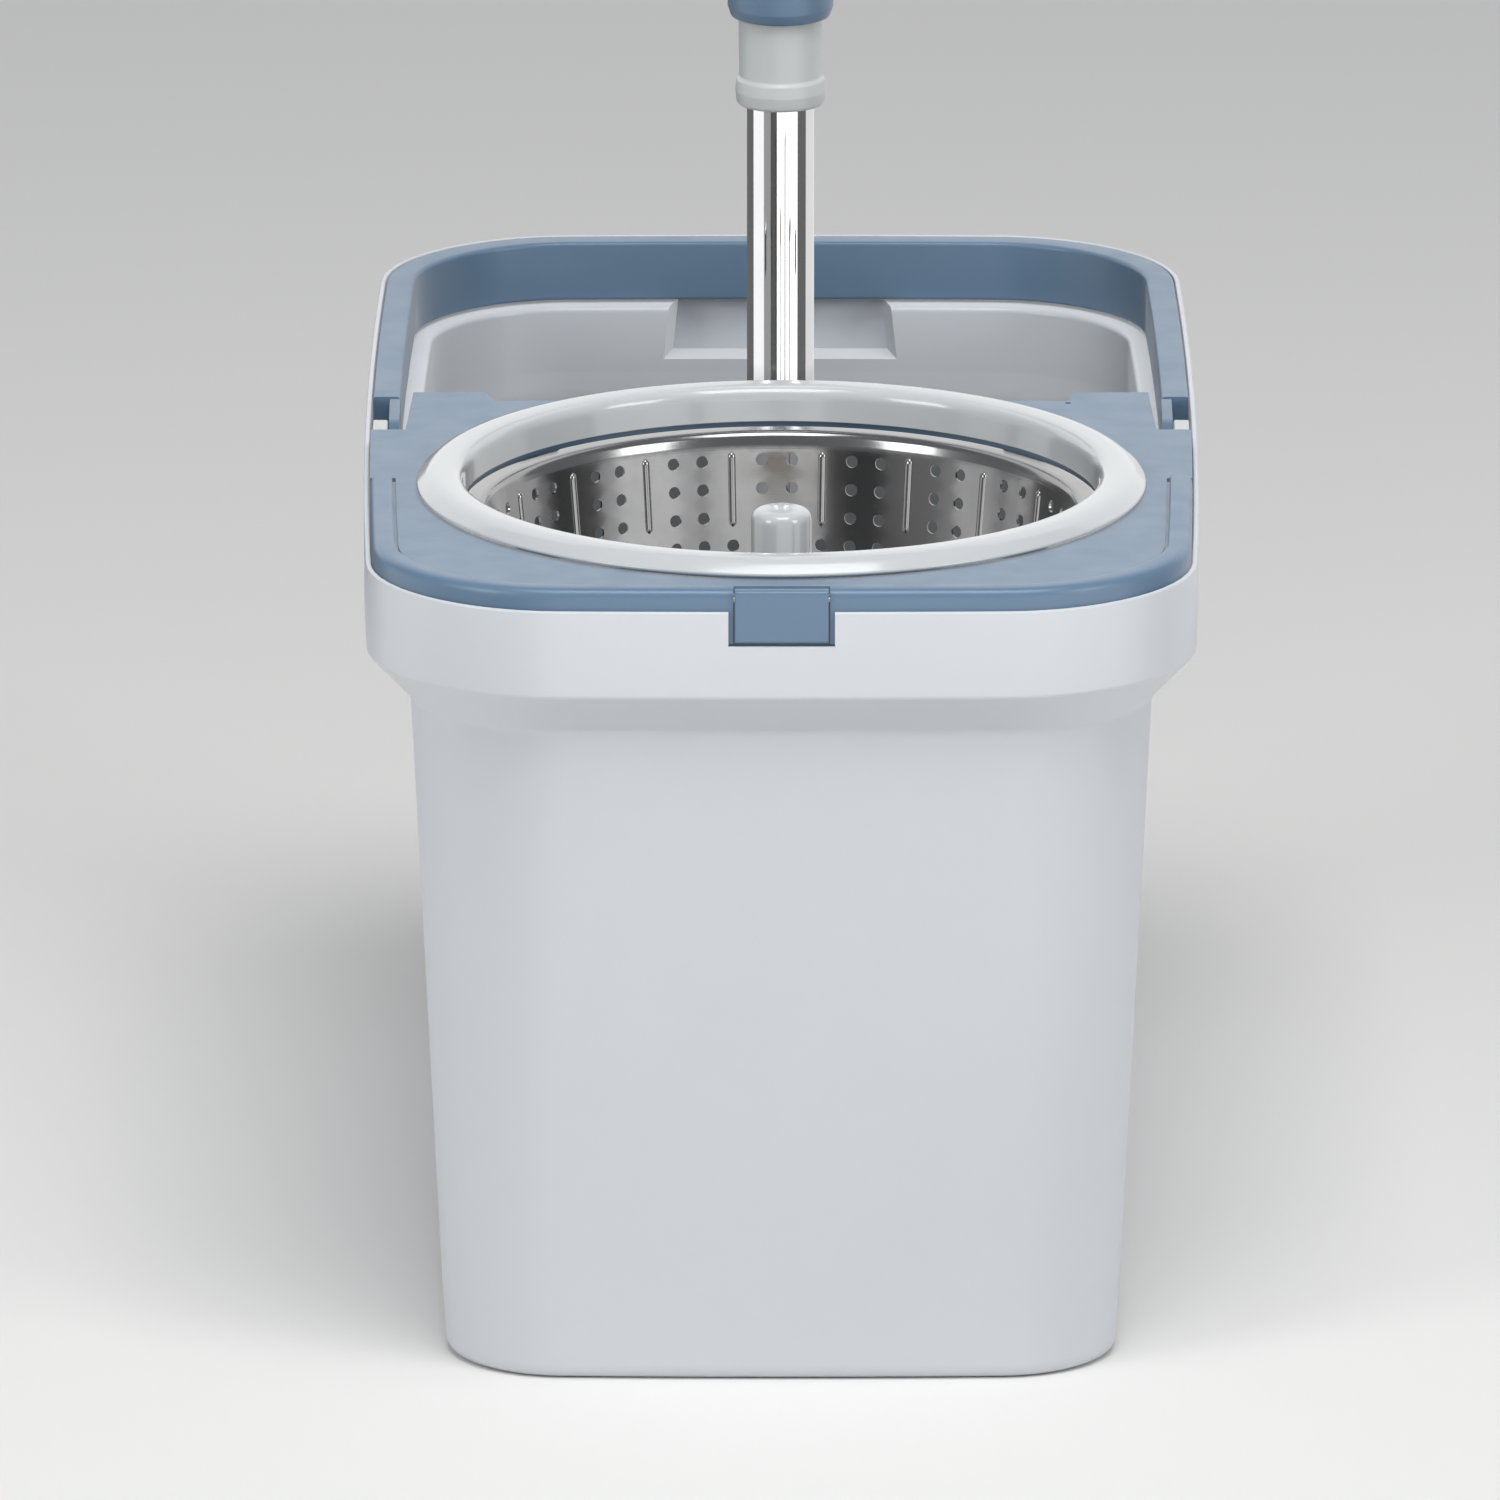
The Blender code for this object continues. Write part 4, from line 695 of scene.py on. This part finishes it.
deck = solid_through("deck_lid", [bucket_plan(DECK_INSET, z) for z in (deck_low.z, DECK_TOP)])
seat_r = RING_R - 0.0035
start = math.asin((DECK_STEP_Y - BASKET_AXIS.y) / seat_r)
seat = [start + (math.pi - 2 * start) * i / 24 for i in range(25)]
right_side = [
    (0.4, -0.4), (0.4, SHOULDER_Y), (NECK_HALF + 0.0015, SHOULDER_Y), (NECK_HALF - 0.0005, DECK_REAR),
    (DECK_STEP_X, DECK_REAR), (DECK_STEP_X - 0.003, DECK_STEP_Y),
]
plan = right_side + [(seat_r * math.cos(a), BASKET_AXIS.y + seat_r * math.sin(a)) for a in seat]
plan += [(-x, y) for x, y in reversed(right_side)]
deck_plan = solid_through("deck_plan", [[(x, y, z) for x, y in plan] for z in (CUT_LOW, CUT_HIGH)])
carve(deck, deck_plan, "INTERSECT")
room_inset = DECK_INSET + 2 * SKIRT + RUNNING
carve(deck, solid_through("deck_room", [bucket_plan(room_inset, z) for z in (CUT_LOW, DECK_TOP - 0.003)]))
hole_r = LIP_R + 0.0025
collar_r = hole_r + 0.0022
collar_line = [(collar_r, DECK_TOP - 0.014), (collar_r, DECK_TOP - 0.001)]
carve(deck, turn_on("deck_collar", collar_line, BASKET_AXIS, 120), "UNION")
carve(deck, turn_on("deck_hole", [(hole_r, CUT_LOW), (hole_r, CUT_HIGH)], BASKET_AXIS, 120))
under_flange = TRIM_TOP - TRIM_FLANGE - RUNNING
behind_flange = DECK_INSET + TRIM_WIDTH + SEAM
front_inset = DECK_INSET + SKIRT + RUNNING
rebate = solid_through("trim_rebate", [bucket_plan(inset, z) for inset, z in (
    (-0.002, CUT_LOW), (-0.002, CUT_HIGH), (behind_flange, CUT_HIGH), (behind_flange, under_flange),
    (front_inset, under_flange), (front_inset, CUT_LOW))], hoop=True)
carve(rebate, box_between("rebate_front", (-1, -1, -1), (1, TRIM_END_Y + SEAM, 1)), "INTERSECT")
carve(deck, rebate)
drain_place = Vector((DECK_STEP_X - 0.003, DECK_STEP_Y - 0.003, 0))
carve(deck, turn_on("deck_drain", [(0.001, CUT_LOW), (0.001, CUT_HIGH)], drain_place, 24))
ease_edges(deck, 0.0007)
dress(deck, blue_finish)
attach(deck, "bucket")
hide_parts("deck_plate")

# ---------- Front band of the deck ----------
# A separate rounded band in the deck's blue, clipped over its front edge from side to side. A gap at its
# middle takes the latch tab.
band_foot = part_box("deck_trim")[0].z
flange_low = TRIM_TOP - TRIM_FLANGE
band_edge = DECK_INSET + TRIM_WIDTH
skirt_inset = DECK_INSET + SKIRT
band_profile = soften([
    (DECK_INSET, band_foot, 0.0002), (DECK_INSET, TRIM_TOP, 0.0034), (band_edge, TRIM_TOP, 0.0014),
    (band_edge, flange_low, 0.0002), (skirt_inset, flange_low, 0.0004), (skirt_inset, band_foot, 0.0002),
], steps=6, closed=True)
front_band = solid_through("deck_band", [bucket_plan(inset, z) for inset, z in band_profile], hoop=True)
carve(front_band, box_between("band_front", (-1, -1, -1), (1, TRIM_END_Y, 1)), "INTERSECT")
TAB_HALF = 0.015
carve(front_band, box_between("tab_gap", (-TAB_HALF - 0.0004, -0.3, CUT_LOW),
                              (TAB_HALF + 0.0004, -rear + 0.007, CUT_HIGH)))
ease_edges(front_band, 0.0004, 40)
dress(front_band, blue_finish)
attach(front_band, "bucket")
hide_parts("deck_trim")

# ---------- Latch tab ----------
# A blue moulded tab on a steel pin at the middle of the front band. It hangs in the collar's notch and is
# pulled out to free the lid.
tab_low, tab_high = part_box("deck_latch")
tab_side = soften([
    (tab_low.y, tab_low.z, 0.0012), (tab_high.y, tab_low.z, 0.0006), (tab_high.y, tab_high.z, 0.0006),
    (tab_low.y, tab_high.z, 0.0030),
], steps=6, closed=True)
tab = solid_through("latch_tab", [[(x, y, z) for y, z in tab_side]
                                  for x in (tab_low.x, -0.005, 0.005, tab_high.x)])
ease_edges(tab, 0.0010, 40)
dress(tab, blue_finish)
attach(tab, "latch")
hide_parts("deck_latch")

# ---------- Splash ring ----------
# A glossy white moulded ring that stands on the deck round the basket's mouth and turns spray back into it.
# Its bore runs down in a short skirt, inside the deck's hole.
RING_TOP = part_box("splash_ring")[1].z
RING_BORE = 0.103
RING_SKIRT = 0.0058
ring_foot = DECK_TOP + RUNNING
skirt_r, skirt_foot = RING_BORE + 0.002, ring_foot - RING_SKIRT
ring = turn_on("splash_rim", soften([
    (RING_R - 0.002, ring_foot, 0.0004), (RING_R, ring_foot + 0.0014, 0.0018),
    (RING_R - 0.0055, RING_TOP, 0.0075), (RING_BORE, RING_TOP - 0.0003, 0.0050),
    (RING_BORE, skirt_foot, 0.0004), (skirt_r, skirt_foot, 0.0004), (skirt_r, ring_foot, 0.0002),
], steps=10, closed=True), BASKET_AXIS, steps=160, hoop=True)
dress(ring, white_finish)
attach(ring, "bucket")
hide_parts("splash_ring")

# ---------- Bail and its lugs ----------
# The carry handle is a flat blue band bent round the back of the collar. Its ends are half lapped to thin
# tongues that turn on studs of two white lugs, which clip into the collar's sides.
bail_low, bail_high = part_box("bail_handle")
BAIL_WIDTH = 0.009
BAIL_START_Y = 0.028
PIVOT_Y, PIVOT_Z = 0.003, (bail_low.z + bail_high.z) / 2
TONGUE = 0.0034
bail_inner = DECK_INSET + BAIL_WIDTH
bail_profile = soften([
    (DECK_INSET, bail_low.z, 0.0008), (DECK_INSET, bail_high.z, 0.0010), (bail_inner, bail_high.z, 0.0016),
    (bail_inner, bail_low.z, 0.0012),
], steps=5, closed=True)
bail = solid_through("carry_bail", [bucket_plan(inset, z, 20) for inset, z in bail_profile], hoop=True)
carve(bail, box_between("bail_rear", (-1, BAIL_START_Y, -1), (1, 1, 1)), "INTERSECT")


def bar_along_x(name, radius, x0, x1, y, z, steps=48):
    ring_points = [(radius * math.cos(2 * math.pi * i / steps), radius * math.sin(2 * math.pi * i / steps))
                   for i in range(steps)]
    return solid_through(name, [[(x, y + a, z + b) for a, b in ring_points] for x in (x0, x1)])


tongue_top = bail_high.z - 0.0008
eye_r = (tongue_top - bail_low.z) / 2
for side, sign in (("left", -1), ("right", 1)):
    inner_x = sign * (RIM_WIDTH / 2 - bail_inner)
    x0, x1 = sorted((inner_x, inner_x + sign * TONGUE))
    tongue_end = (x1, BAIL_START_Y + 0.004, tongue_top)
    carve(bail, box_between("tongue", (x0, PIVOT_Y, bail_low.z), tongue_end), "UNION")
    carve(bail, bar_along_x("tongue_eye", eye_r, x0, x1, PIVOT_Y, bail_low.z + eye_r), "UNION")
    carve(bail, bar_along_x("tongue_bore", 0.0038, x0 - 0.003, x1 + 0.003, PIVOT_Y, PIVOT_Z))
    lug_low, lug_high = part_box(f"pivot_lug_{side}")
    lug_outer = lug_low.x if sign < 0 else lug_high.x
    x0, x1 = sorted((lug_outer, inner_x + sign * (TONGUE + 0.0004)))
    lug = box_between(f"bail_lug_{side}", (x0, lug_low.y, lug_low.z), (x1, lug_high.y, lug_high.z))
    stub_end = lug_high.x if sign < 0 else lug_low.x
    x0, x1 = sorted((stub_end, inner_x + sign * (TONGUE + 0.0014)))
    carve(lug, bar_along_x("lug_stub", 0.0035, x0, x1, PIVOT_Y, PIVOT_Z), "UNION")
    ease_edges(lug, 0.0006)
    dress(lug, white_finish)
    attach(lug, "bucket")
    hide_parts(f"pivot_lug_{side}")
ease_edges(bail, 0.0005, 40)
dress(bail, blue_finish)
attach(bail, "bail")
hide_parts("bail_handle")

# ---------- Mop head ----------
# A white round plate with an ear for the knuckle, and under it a clamp ring that holds the refill: loops of
# soft microfibre yarn, tufted in rings, that spread over the bucket's floor under the mop's weight.
plate_low, plate_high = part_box("mop_plate")
fibre_low, fibre_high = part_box("mop_fibres")
MOP_AXIS = Vector((0, (plate_low.y + plate_high.y) / 2, 0))
PLATE_R = (plate_high.x - plate_low.x) / 2
PLATE_TOP = plate_low.z + 0.005
TILT_Z = 0.058
EAR_R, EAR_HALF = 0.008, 0.0025
plate = turn_on("head_plate", soften([
    (0.006, plate_low.z, 0), (PLATE_R - 0.001, plate_low.z, 0.0008), (PLATE_R, plate_low.z + 0.002, 0.001),
    (PLATE_R - 0.003, PLATE_TOP, 0.0015), (0.046, PLATE_TOP - 0.0008, 0.002),
    (0.043, PLATE_TOP + 0.0006, 0.002), (0.024, PLATE_TOP, 0.004), (0.010, PLATE_TOP + 0.003, 0.002),
    (0.004, PLATE_TOP + 0.003, 0),
], steps=4), MOP_AXIS, 80)
ear_side = [(MOP_AXIS.y + EAR_R * math.cos(math.pi * i / 24), TILT_Z + EAR_R * math.sin(math.pi * i / 24))
            for i in range(25)]
ear_side += [(MOP_AXIS.y - EAR_R, PLATE_TOP - 0.002), (MOP_AXIS.y + EAR_R, PLATE_TOP - 0.002)]
ear = solid_through("plate_ear", [[(x, y, z) for y, z in ear_side] for x in (-EAR_HALF, EAR_HALF)])
carve(plate, ear, "UNION")
carve(plate, bar_along_x("ear_bore", 0.0028, -0.01, 0.01, MOP_AXIS.y, TILT_Z))
ease_edges(plate, 0.0004, 40)
dress(plate, white_finish)
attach(plate, "mop_head")
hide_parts("mop_plate")
dress(nodes["refill_ring"], cradle_finish)

FIBRE_R = (fibre_high.x - fibre_low.x) / 2
YARN_R = 0.0019
TUFT_RINGS = ((0.018, 26), (0.030, 40), (0.042, 56), (0.054, 72))
YARN_STEPS = 6


def yarn_finish():
    """Looped microfibre yarn: off-white, ribbed across by its twist, a little darker where it is damp."""
    finish, shader = new_finish("microfibre_yarn")
    tree = finish.node_tree
    place = node_in(tree, "ShaderNodeTexCoord").outputs["Object"]
    tone = node_in(tree, "ShaderNodeValToRGB", {"Fac": noise(tree, place, 32.0, 3.0)})
    damp, dry = tone.color_ramp.elements
    damp.position, damp.color = 0.32, (0.50, 0.54, 0.58, 1)
    dry.position, dry.color = 0.68, (0.80, 0.82, 0.84, 1)
    tree.links.new(tone.outputs["Color"], shader.inputs["Base Color"])
    twist = noise(tree, place, 900.0, 3.0, 0.75)
    relief = node_in(tree, "ShaderNodeBump", {"Strength": 0.8, "Distance": 0.0006, "Height": twist})
    tree.links.new(relief.outputs["Normal"], shader.inputs["Normal"])
    shader.inputs["Roughness"].default_value = 0.95
    shader.inputs["Sheen Weight"].default_value = 0.5
    shader.inputs["Sheen Roughness"].default_value = 0.5
    return finish


def yarn_route(chance, root_r, angle):
    """One tuft: down from the plate, bending outwards, and lying out over the floor."""
    root_z = plate_low.z - 0.0055
    floor_z = fibre_low.z + YARN_R
    reach = min(FIBRE_R - YARN_R - 0.0006, root_r + 0.020 + chance.random() * 0.012)
    lift = chance.random() * (0.010 if root_r > 0.05 else 0.006)
    lean = (chance.random() - 0.5) * 0.5
    points = []
    for step in range(YARN_STEPS + 1):
        share = step / YARN_STEPS
        radius = root_r + (reach - root_r) * share ** 1.3
        turn = angle + lean * share ** 2 + (chance.random() - 0.5) * 0.02
        fall = 1 - (1 - share) ** 2.2
        z = root_z + (floor_z + lift - root_z) * fall
        points.append(round_axis(MOP_AXIS, radius, turn, max(z, floor_z)))
    return points


chance = random.Random(7)
yarn = bpy.data.curves.new("refill_yarn", "CURVE")
yarn.dimensions = "3D"
yarn.bevel_depth = YARN_R
yarn.bevel_resolution = 1
yarn.resolution_u = 2
yarn.use_fill_caps = True
for root_r, count in TUFT_RINGS:
    for i in range(count):
        for _ in range(2):
            route = yarn_route(chance, root_r, 2 * math.pi * (i + chance.random() * 0.6) / count)
            strand = yarn.splines.new("BEZIER")
            strand.bezier_points.add(len(route) - 1)
            for knot, point in zip(strand.bezier_points, route):
                knot.co = point
                knot.handle_left_type = knot.handle_right_type = "AUTO"
                knot.radius = 0.85 + chance.random() * 0.3
yarn_curve = add_object("refill_yarn_curve", yarn)
graph = bpy.context.evaluated_depsgraph_get()
refill_mesh = bpy.data.meshes.new_from_object(yarn_curve.evaluated_get(graph))
bpy.data.objects.remove(yarn_curve)
refill = add_object("refill_yarn", refill_mesh)
refill_mesh.shade_smooth()
dress(refill, yarn_finish())
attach(refill, "mop_head")
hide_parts("mop_fibres")
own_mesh(refill)

# ---------- Knuckle ----------
# A white moulded fork, pressed on the foot of the drive rod. The head tilts between its cheeks, on a plated
# steel pin.
knuckle_low, knuckle_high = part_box("head_knuckle")
knuckle_r = (knuckle_high.x - knuckle_low.x) / 2
knuckle = turn_on("forked_knuckle", soften([
    (0.002, knuckle_low.z, 0), (knuckle_r, knuckle_low.z, 0.002), (knuckle_r, knuckle_high.z - 0.014, 0.004),
    (knuckle_r - 0.004, knuckle_high.z, 0.0015), (0.0043, knuckle_high.z, 0),
], steps=5), MOP_AXIS, 64)
rod_socket = [(0.0043, knuckle_high.z - 0.0125), (0.0043, knuckle_high.z + 0.002)]
carve(knuckle, turn_on("rod_socket", rod_socket, MOP_AXIS, 32))
fork_half = EAR_HALF + 0.0004
carve(knuckle, box_between("fork_slot", (-fork_half, MOP_AXIS.y - 0.02, knuckle_low.z - 0.001),
                           (fork_half, MOP_AXIS.y + 0.02, TILT_Z + EAR_R + 0.002)))
carve(knuckle, bar_along_x("fork_bore", 0.0028, -0.02, 0.02, MOP_AXIS.y, TILT_Z))
ease_edges(knuckle, 0.0004, 40)
dress(knuckle, white_finish)
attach(knuckle, "mop_drive")
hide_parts("head_knuckle")

# ---------- Poles ----------
# Thin stainless tube, chrome plated and buffed. The narrow one stands in the head, and its foot is painted
# darker as painted shade; the two wider ones slide down it. Their bushes and plug are grey plastic, and the
# drive nut is white.
TUBE_WALL = 0.0009
# The narrow tube is painted darker below this height, as painted shade where it stands deep in the bucket.
TUBE_SHADE_TOP = 0.246
TUBE_SHADE_GREY = (0.24, 0.25, 0.255, 1)
TUBE_LOOK = ((0.82, 0.82, 0.83, 1), (0.72, 0.72, 0.73, 1), 0.055, 1200.0, 0.04, 0.004)
chrome = metal("chromed_tube", *TUBE_LOOK)
# The same chrome with painted shade on the narrow tube's foot.
shaded_chrome = metal("chromed_tube_painted_shade", *TUBE_LOOK)
paint_shade_inside(shaded_chrome, TUBE_SHADE_TOP, TUBE_SHADE_GREY, all_round=True)


def pole(name, node, finish):
    """A tube with its cut ends eased, the size of a CAD tube."""
    low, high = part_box(node)
    outer = (high.x - low.x) / 2
    bore = outer - TUBE_WALL
    made = turn_on(name, soften([
        (outer, low.z, 0.0003), (outer, high.z, 0.0003), (bore, high.z, 0.0003), (bore, low.z, 0.0003),
    ], steps=3, closed=True), MOP_AXIS, 96, hoop=True)
    return dress(made, finish)


for name, node, body, finish in (("lower_tube", "lower_pole", "mop_pole", shaded_chrome),
                                 ("handle_tube_lower", "upper_pole_lower", "mop_handle", chrome),
                                 ("handle_tube_upper", "upper_pole_upper", "mop_handle", chrome)):
    made = pole(name, node, finish)
    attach(made, body)
    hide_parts(node)
for name in ("foot_bush", "guide_bush", "pole_connector"):
    dress(nodes[name], cradle_finish)
dress(nodes["drive_nut"], white_finish)

# These pieces are left out of every reflection, so that the polished tube shows the upright stripes of the
# studio down to its foot.
for below in (bucket, deck, front_band, tab, ring, bail, basket, post):
    below.visible_glossy = False

# ---------- Lock collar ----------
# A collar moulded in milky translucent plastic, at the handle's lower end, with a rolled ring at its foot.
# The twist sleeve turns on its outside.
collar_low, collar_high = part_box("lock_collar")
COLLAR_R, COLLAR_RING_R = 0.014, (collar_high.x - collar_low.x) / 2
COLLAR_RING = 0.0085
LOWER_BORE, UPPER_BORE = 0.0114, 0.0130
ring_z = collar_low.z + COLLAR_RING
collar_seat = collar_low.z + (collar_high.z - collar_low.z) * 0.4
collar = turn_on("milky_collar", soften([
    (LOWER_BORE, collar_low.z, 0.0003), (COLLAR_RING_R - 0.0006, collar_low.z, 0.0022),
    (COLLAR_RING_R, collar_low.z + COLLAR_RING * 0.55, 0.003), (COLLAR_RING_R - 0.0004, ring_z, 0.0012),
    (COLLAR_R - 0.0003, ring_z + 0.0012, 0.0012), (COLLAR_R, collar_high.z, 0.0006),
    (UPPER_BORE, collar_high.z, 0.0003), (UPPER_BORE, collar_seat, 0.0003), (LOWER_BORE, collar_seat, 0.0003),
], steps=6, closed=True), MOP_AXIS, 96, hoop=True)
milky = plastic("milky_plastic", (0.74, 0.77, 0.76, 1), (0.66, 0.69, 0.68, 1), 0.34, wear=0.2, bump=0.02)
milky_shader = milky.node_tree.nodes["Principled BSDF"]
milky_shader.inputs["Transmission Weight"].default_value = 0.30
milky_shader.inputs["IOR"].default_value = 1.45
dress(collar, milky)
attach(collar, "mop_handle")
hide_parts("lock_collar")

# ---------- Twist sleeve ----------
# The blue moulded sleeve that is turned by hand to lock the handle. Its waist is fluted for grip, between two
# plain ends. Its bore steps in from the collar to the tube.
sleeve_low, sleeve_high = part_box("twist_sleeve")
SLEEVE_R = (sleeve_high.x - sleeve_low.x) / 2
OVER_COLLAR, OVER_TUBE = 0.0143, 0.0130
FLUTES = 20
FLUTE_DEPTH = 0.0011
FLUTE_FADE = 0.004
BORE_STEP_Z = 0.3843
sleeve_profile = soften([
    (OVER_COLLAR, sleeve_low.z, 0.0003), (SLEEVE_R - 0.0012, sleeve_low.z, 0.0010),
    (SLEEVE_R, sleeve_low.z + 0.0035, 0.002), (SLEEVE_R, sleeve_low.z + 0.010, 0.001),
    (SLEEVE_R, sleeve_low.z + 0.018, 0.001), (SLEEVE_R - 0.0002, sleeve_low.z + 0.030, 0.001),
    (SLEEVE_R - 0.0004, sleeve_low.z + 0.042, 0.001), (SLEEVE_R - 0.0010, sleeve_high.z - 0.016, 0.004),
    (SLEEVE_R - 0.0028, sleeve_high.z - 0.002, 0.002), (SLEEVE_R - 0.0040, sleeve_high.z, 0.0006),
    (OVER_TUBE, sleeve_high.z, 0.0003), (OVER_TUBE, BORE_STEP_Z, 0.0003), (OVER_COLLAR, BORE_STEP_Z, 0.0003),
], steps=4, closed=True)
sleeve_steps = FLUTES * 8
sleeve_rings = []
for radius, z in sleeve_profile:
    from_foot, from_top = z - sleeve_low.z - 0.011, sleeve_high.z - 0.018 - z
    waist = max(0.0, min(1.0, from_foot / FLUTE_FADE, from_top / FLUTE_FADE))
    depth = FLUTE_DEPTH * waist if radius > 0.0155 else 0.0
    sleeve_ring = []
    for i in range(sleeve_steps):
        turn = 2 * math.pi * i / sleeve_steps
        fluted = radius - depth * (0.5 - 0.5 * math.cos(FLUTES * turn)) ** 2
        sleeve_ring.append(round_axis(MOP_AXIS, fluted, turn, z))
    sleeve_rings.append(sleeve_ring)
sleeve = solid_through("lock_sleeve", sleeve_rings, hoop=True)
sleeve.data.shade_smooth()
sleeve.data.set_sharp_from_angle(angle=math.radians(50))
dress(sleeve, blue_finish)
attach(sleeve, "lock_ring")
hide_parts("twist_sleeve")

# ---------- Grip and end cap ----------
# A blue moulded grip pushed over the top tube, with shallow rings for the fingers, and an end cap with an eye
# to hang the mop up by.
grip_low, grip_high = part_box("hand_grip")
GRIP_R = 0.0155
GRIP_BORE = 0.0130
GRIP_RINGS = 11
GRIP_RING_PITCH = 0.0095
grip_line = [(GRIP_BORE, grip_low.z, 0.0003), (GRIP_R - 0.0008, grip_low.z, 0.0010),
             (GRIP_R, grip_low.z + 0.003, 0.001)]
for i in range(GRIP_RINGS):
    z = grip_low.z + 0.018 + i * GRIP_RING_PITCH
    swell = 0.0006 * math.sin(math.pi * i / (GRIP_RINGS - 1))
    grip_line += [(GRIP_R - swell, z - 0.0022, 0.0008), (GRIP_R - 0.0009 - swell, z, 0.001),
                  (GRIP_R - swell, z + 0.0022, 0.0008)]
grip_line += [(GRIP_R + 0.0003, grip_high.z - 0.006, 0.002), (GRIP_R - 0.0006, grip_high.z, 0.0008),
              (GRIP_BORE, grip_high.z, 0.0003)]
grip = turn_on("handle_grip", soften(grip_line, steps=3, closed=True), MOP_AXIS, 80, hoop=True)
dress(grip, blue_finish)
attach(grip, "mop_handle")
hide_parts("hand_grip")

cap_low, cap_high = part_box("hang_cap")
cap_seat = grip_high.z + 2 * RUNNING
CAP_R = GRIP_R - 0.001
cap = turn_on("end_cap", soften([
    (0.002, cap_low.z, 0), (0.0105, cap_low.z, 0.0008), (0.0115, cap_low.z + 0.002, 0.0008),
    (0.0115, cap_seat, 0.0002), (CAP_R, cap_seat, 0.0006), (CAP_R, cap_seat + 0.006, 0.004),
    (0.008, cap_seat + 0.012, 0.002), (0.002, cap_seat + 0.0122, 0),
], steps=5), MOP_AXIS, 64)
EYE_HALF = 0.013
EYE_HOLE_R = 0.007
eye_mid = cap_high.z - EYE_HALF
eye_arc = [math.pi * i / 24 for i in range(25)]
eye_plan = [(EYE_HALF * math.cos(a), eye_mid + EYE_HALF * math.sin(a)) for a in eye_arc]
eye_plan += [(-0.010, cap_seat + 0.003), (0.010, cap_seat + 0.003)]
cap_eye = solid_through("cap_eye", [[(x, MOP_AXIS.y + y, z) for x, z in eye_plan] for y in (-0.0045, 0.0045)])
carve(cap, cap_eye, "UNION")
hole_turns = [2 * math.pi * i / 40 for i in range(40)]
eye_hole = [(EYE_HOLE_R * math.cos(a), eye_mid - 0.003 + EYE_HOLE_R * math.sin(a)) for a in hole_turns]
cap_hole = solid_through("cap_hole", [[(x, MOP_AXIS.y + y, z) for x, z in eye_hole] for y in (-0.009, 0.009)])
carve(cap, cap_hole)
ease_edges(cap, 0.0010, 40)
dress(cap, blue_finish)
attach(cap, "mop_handle")
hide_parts("hang_cap")
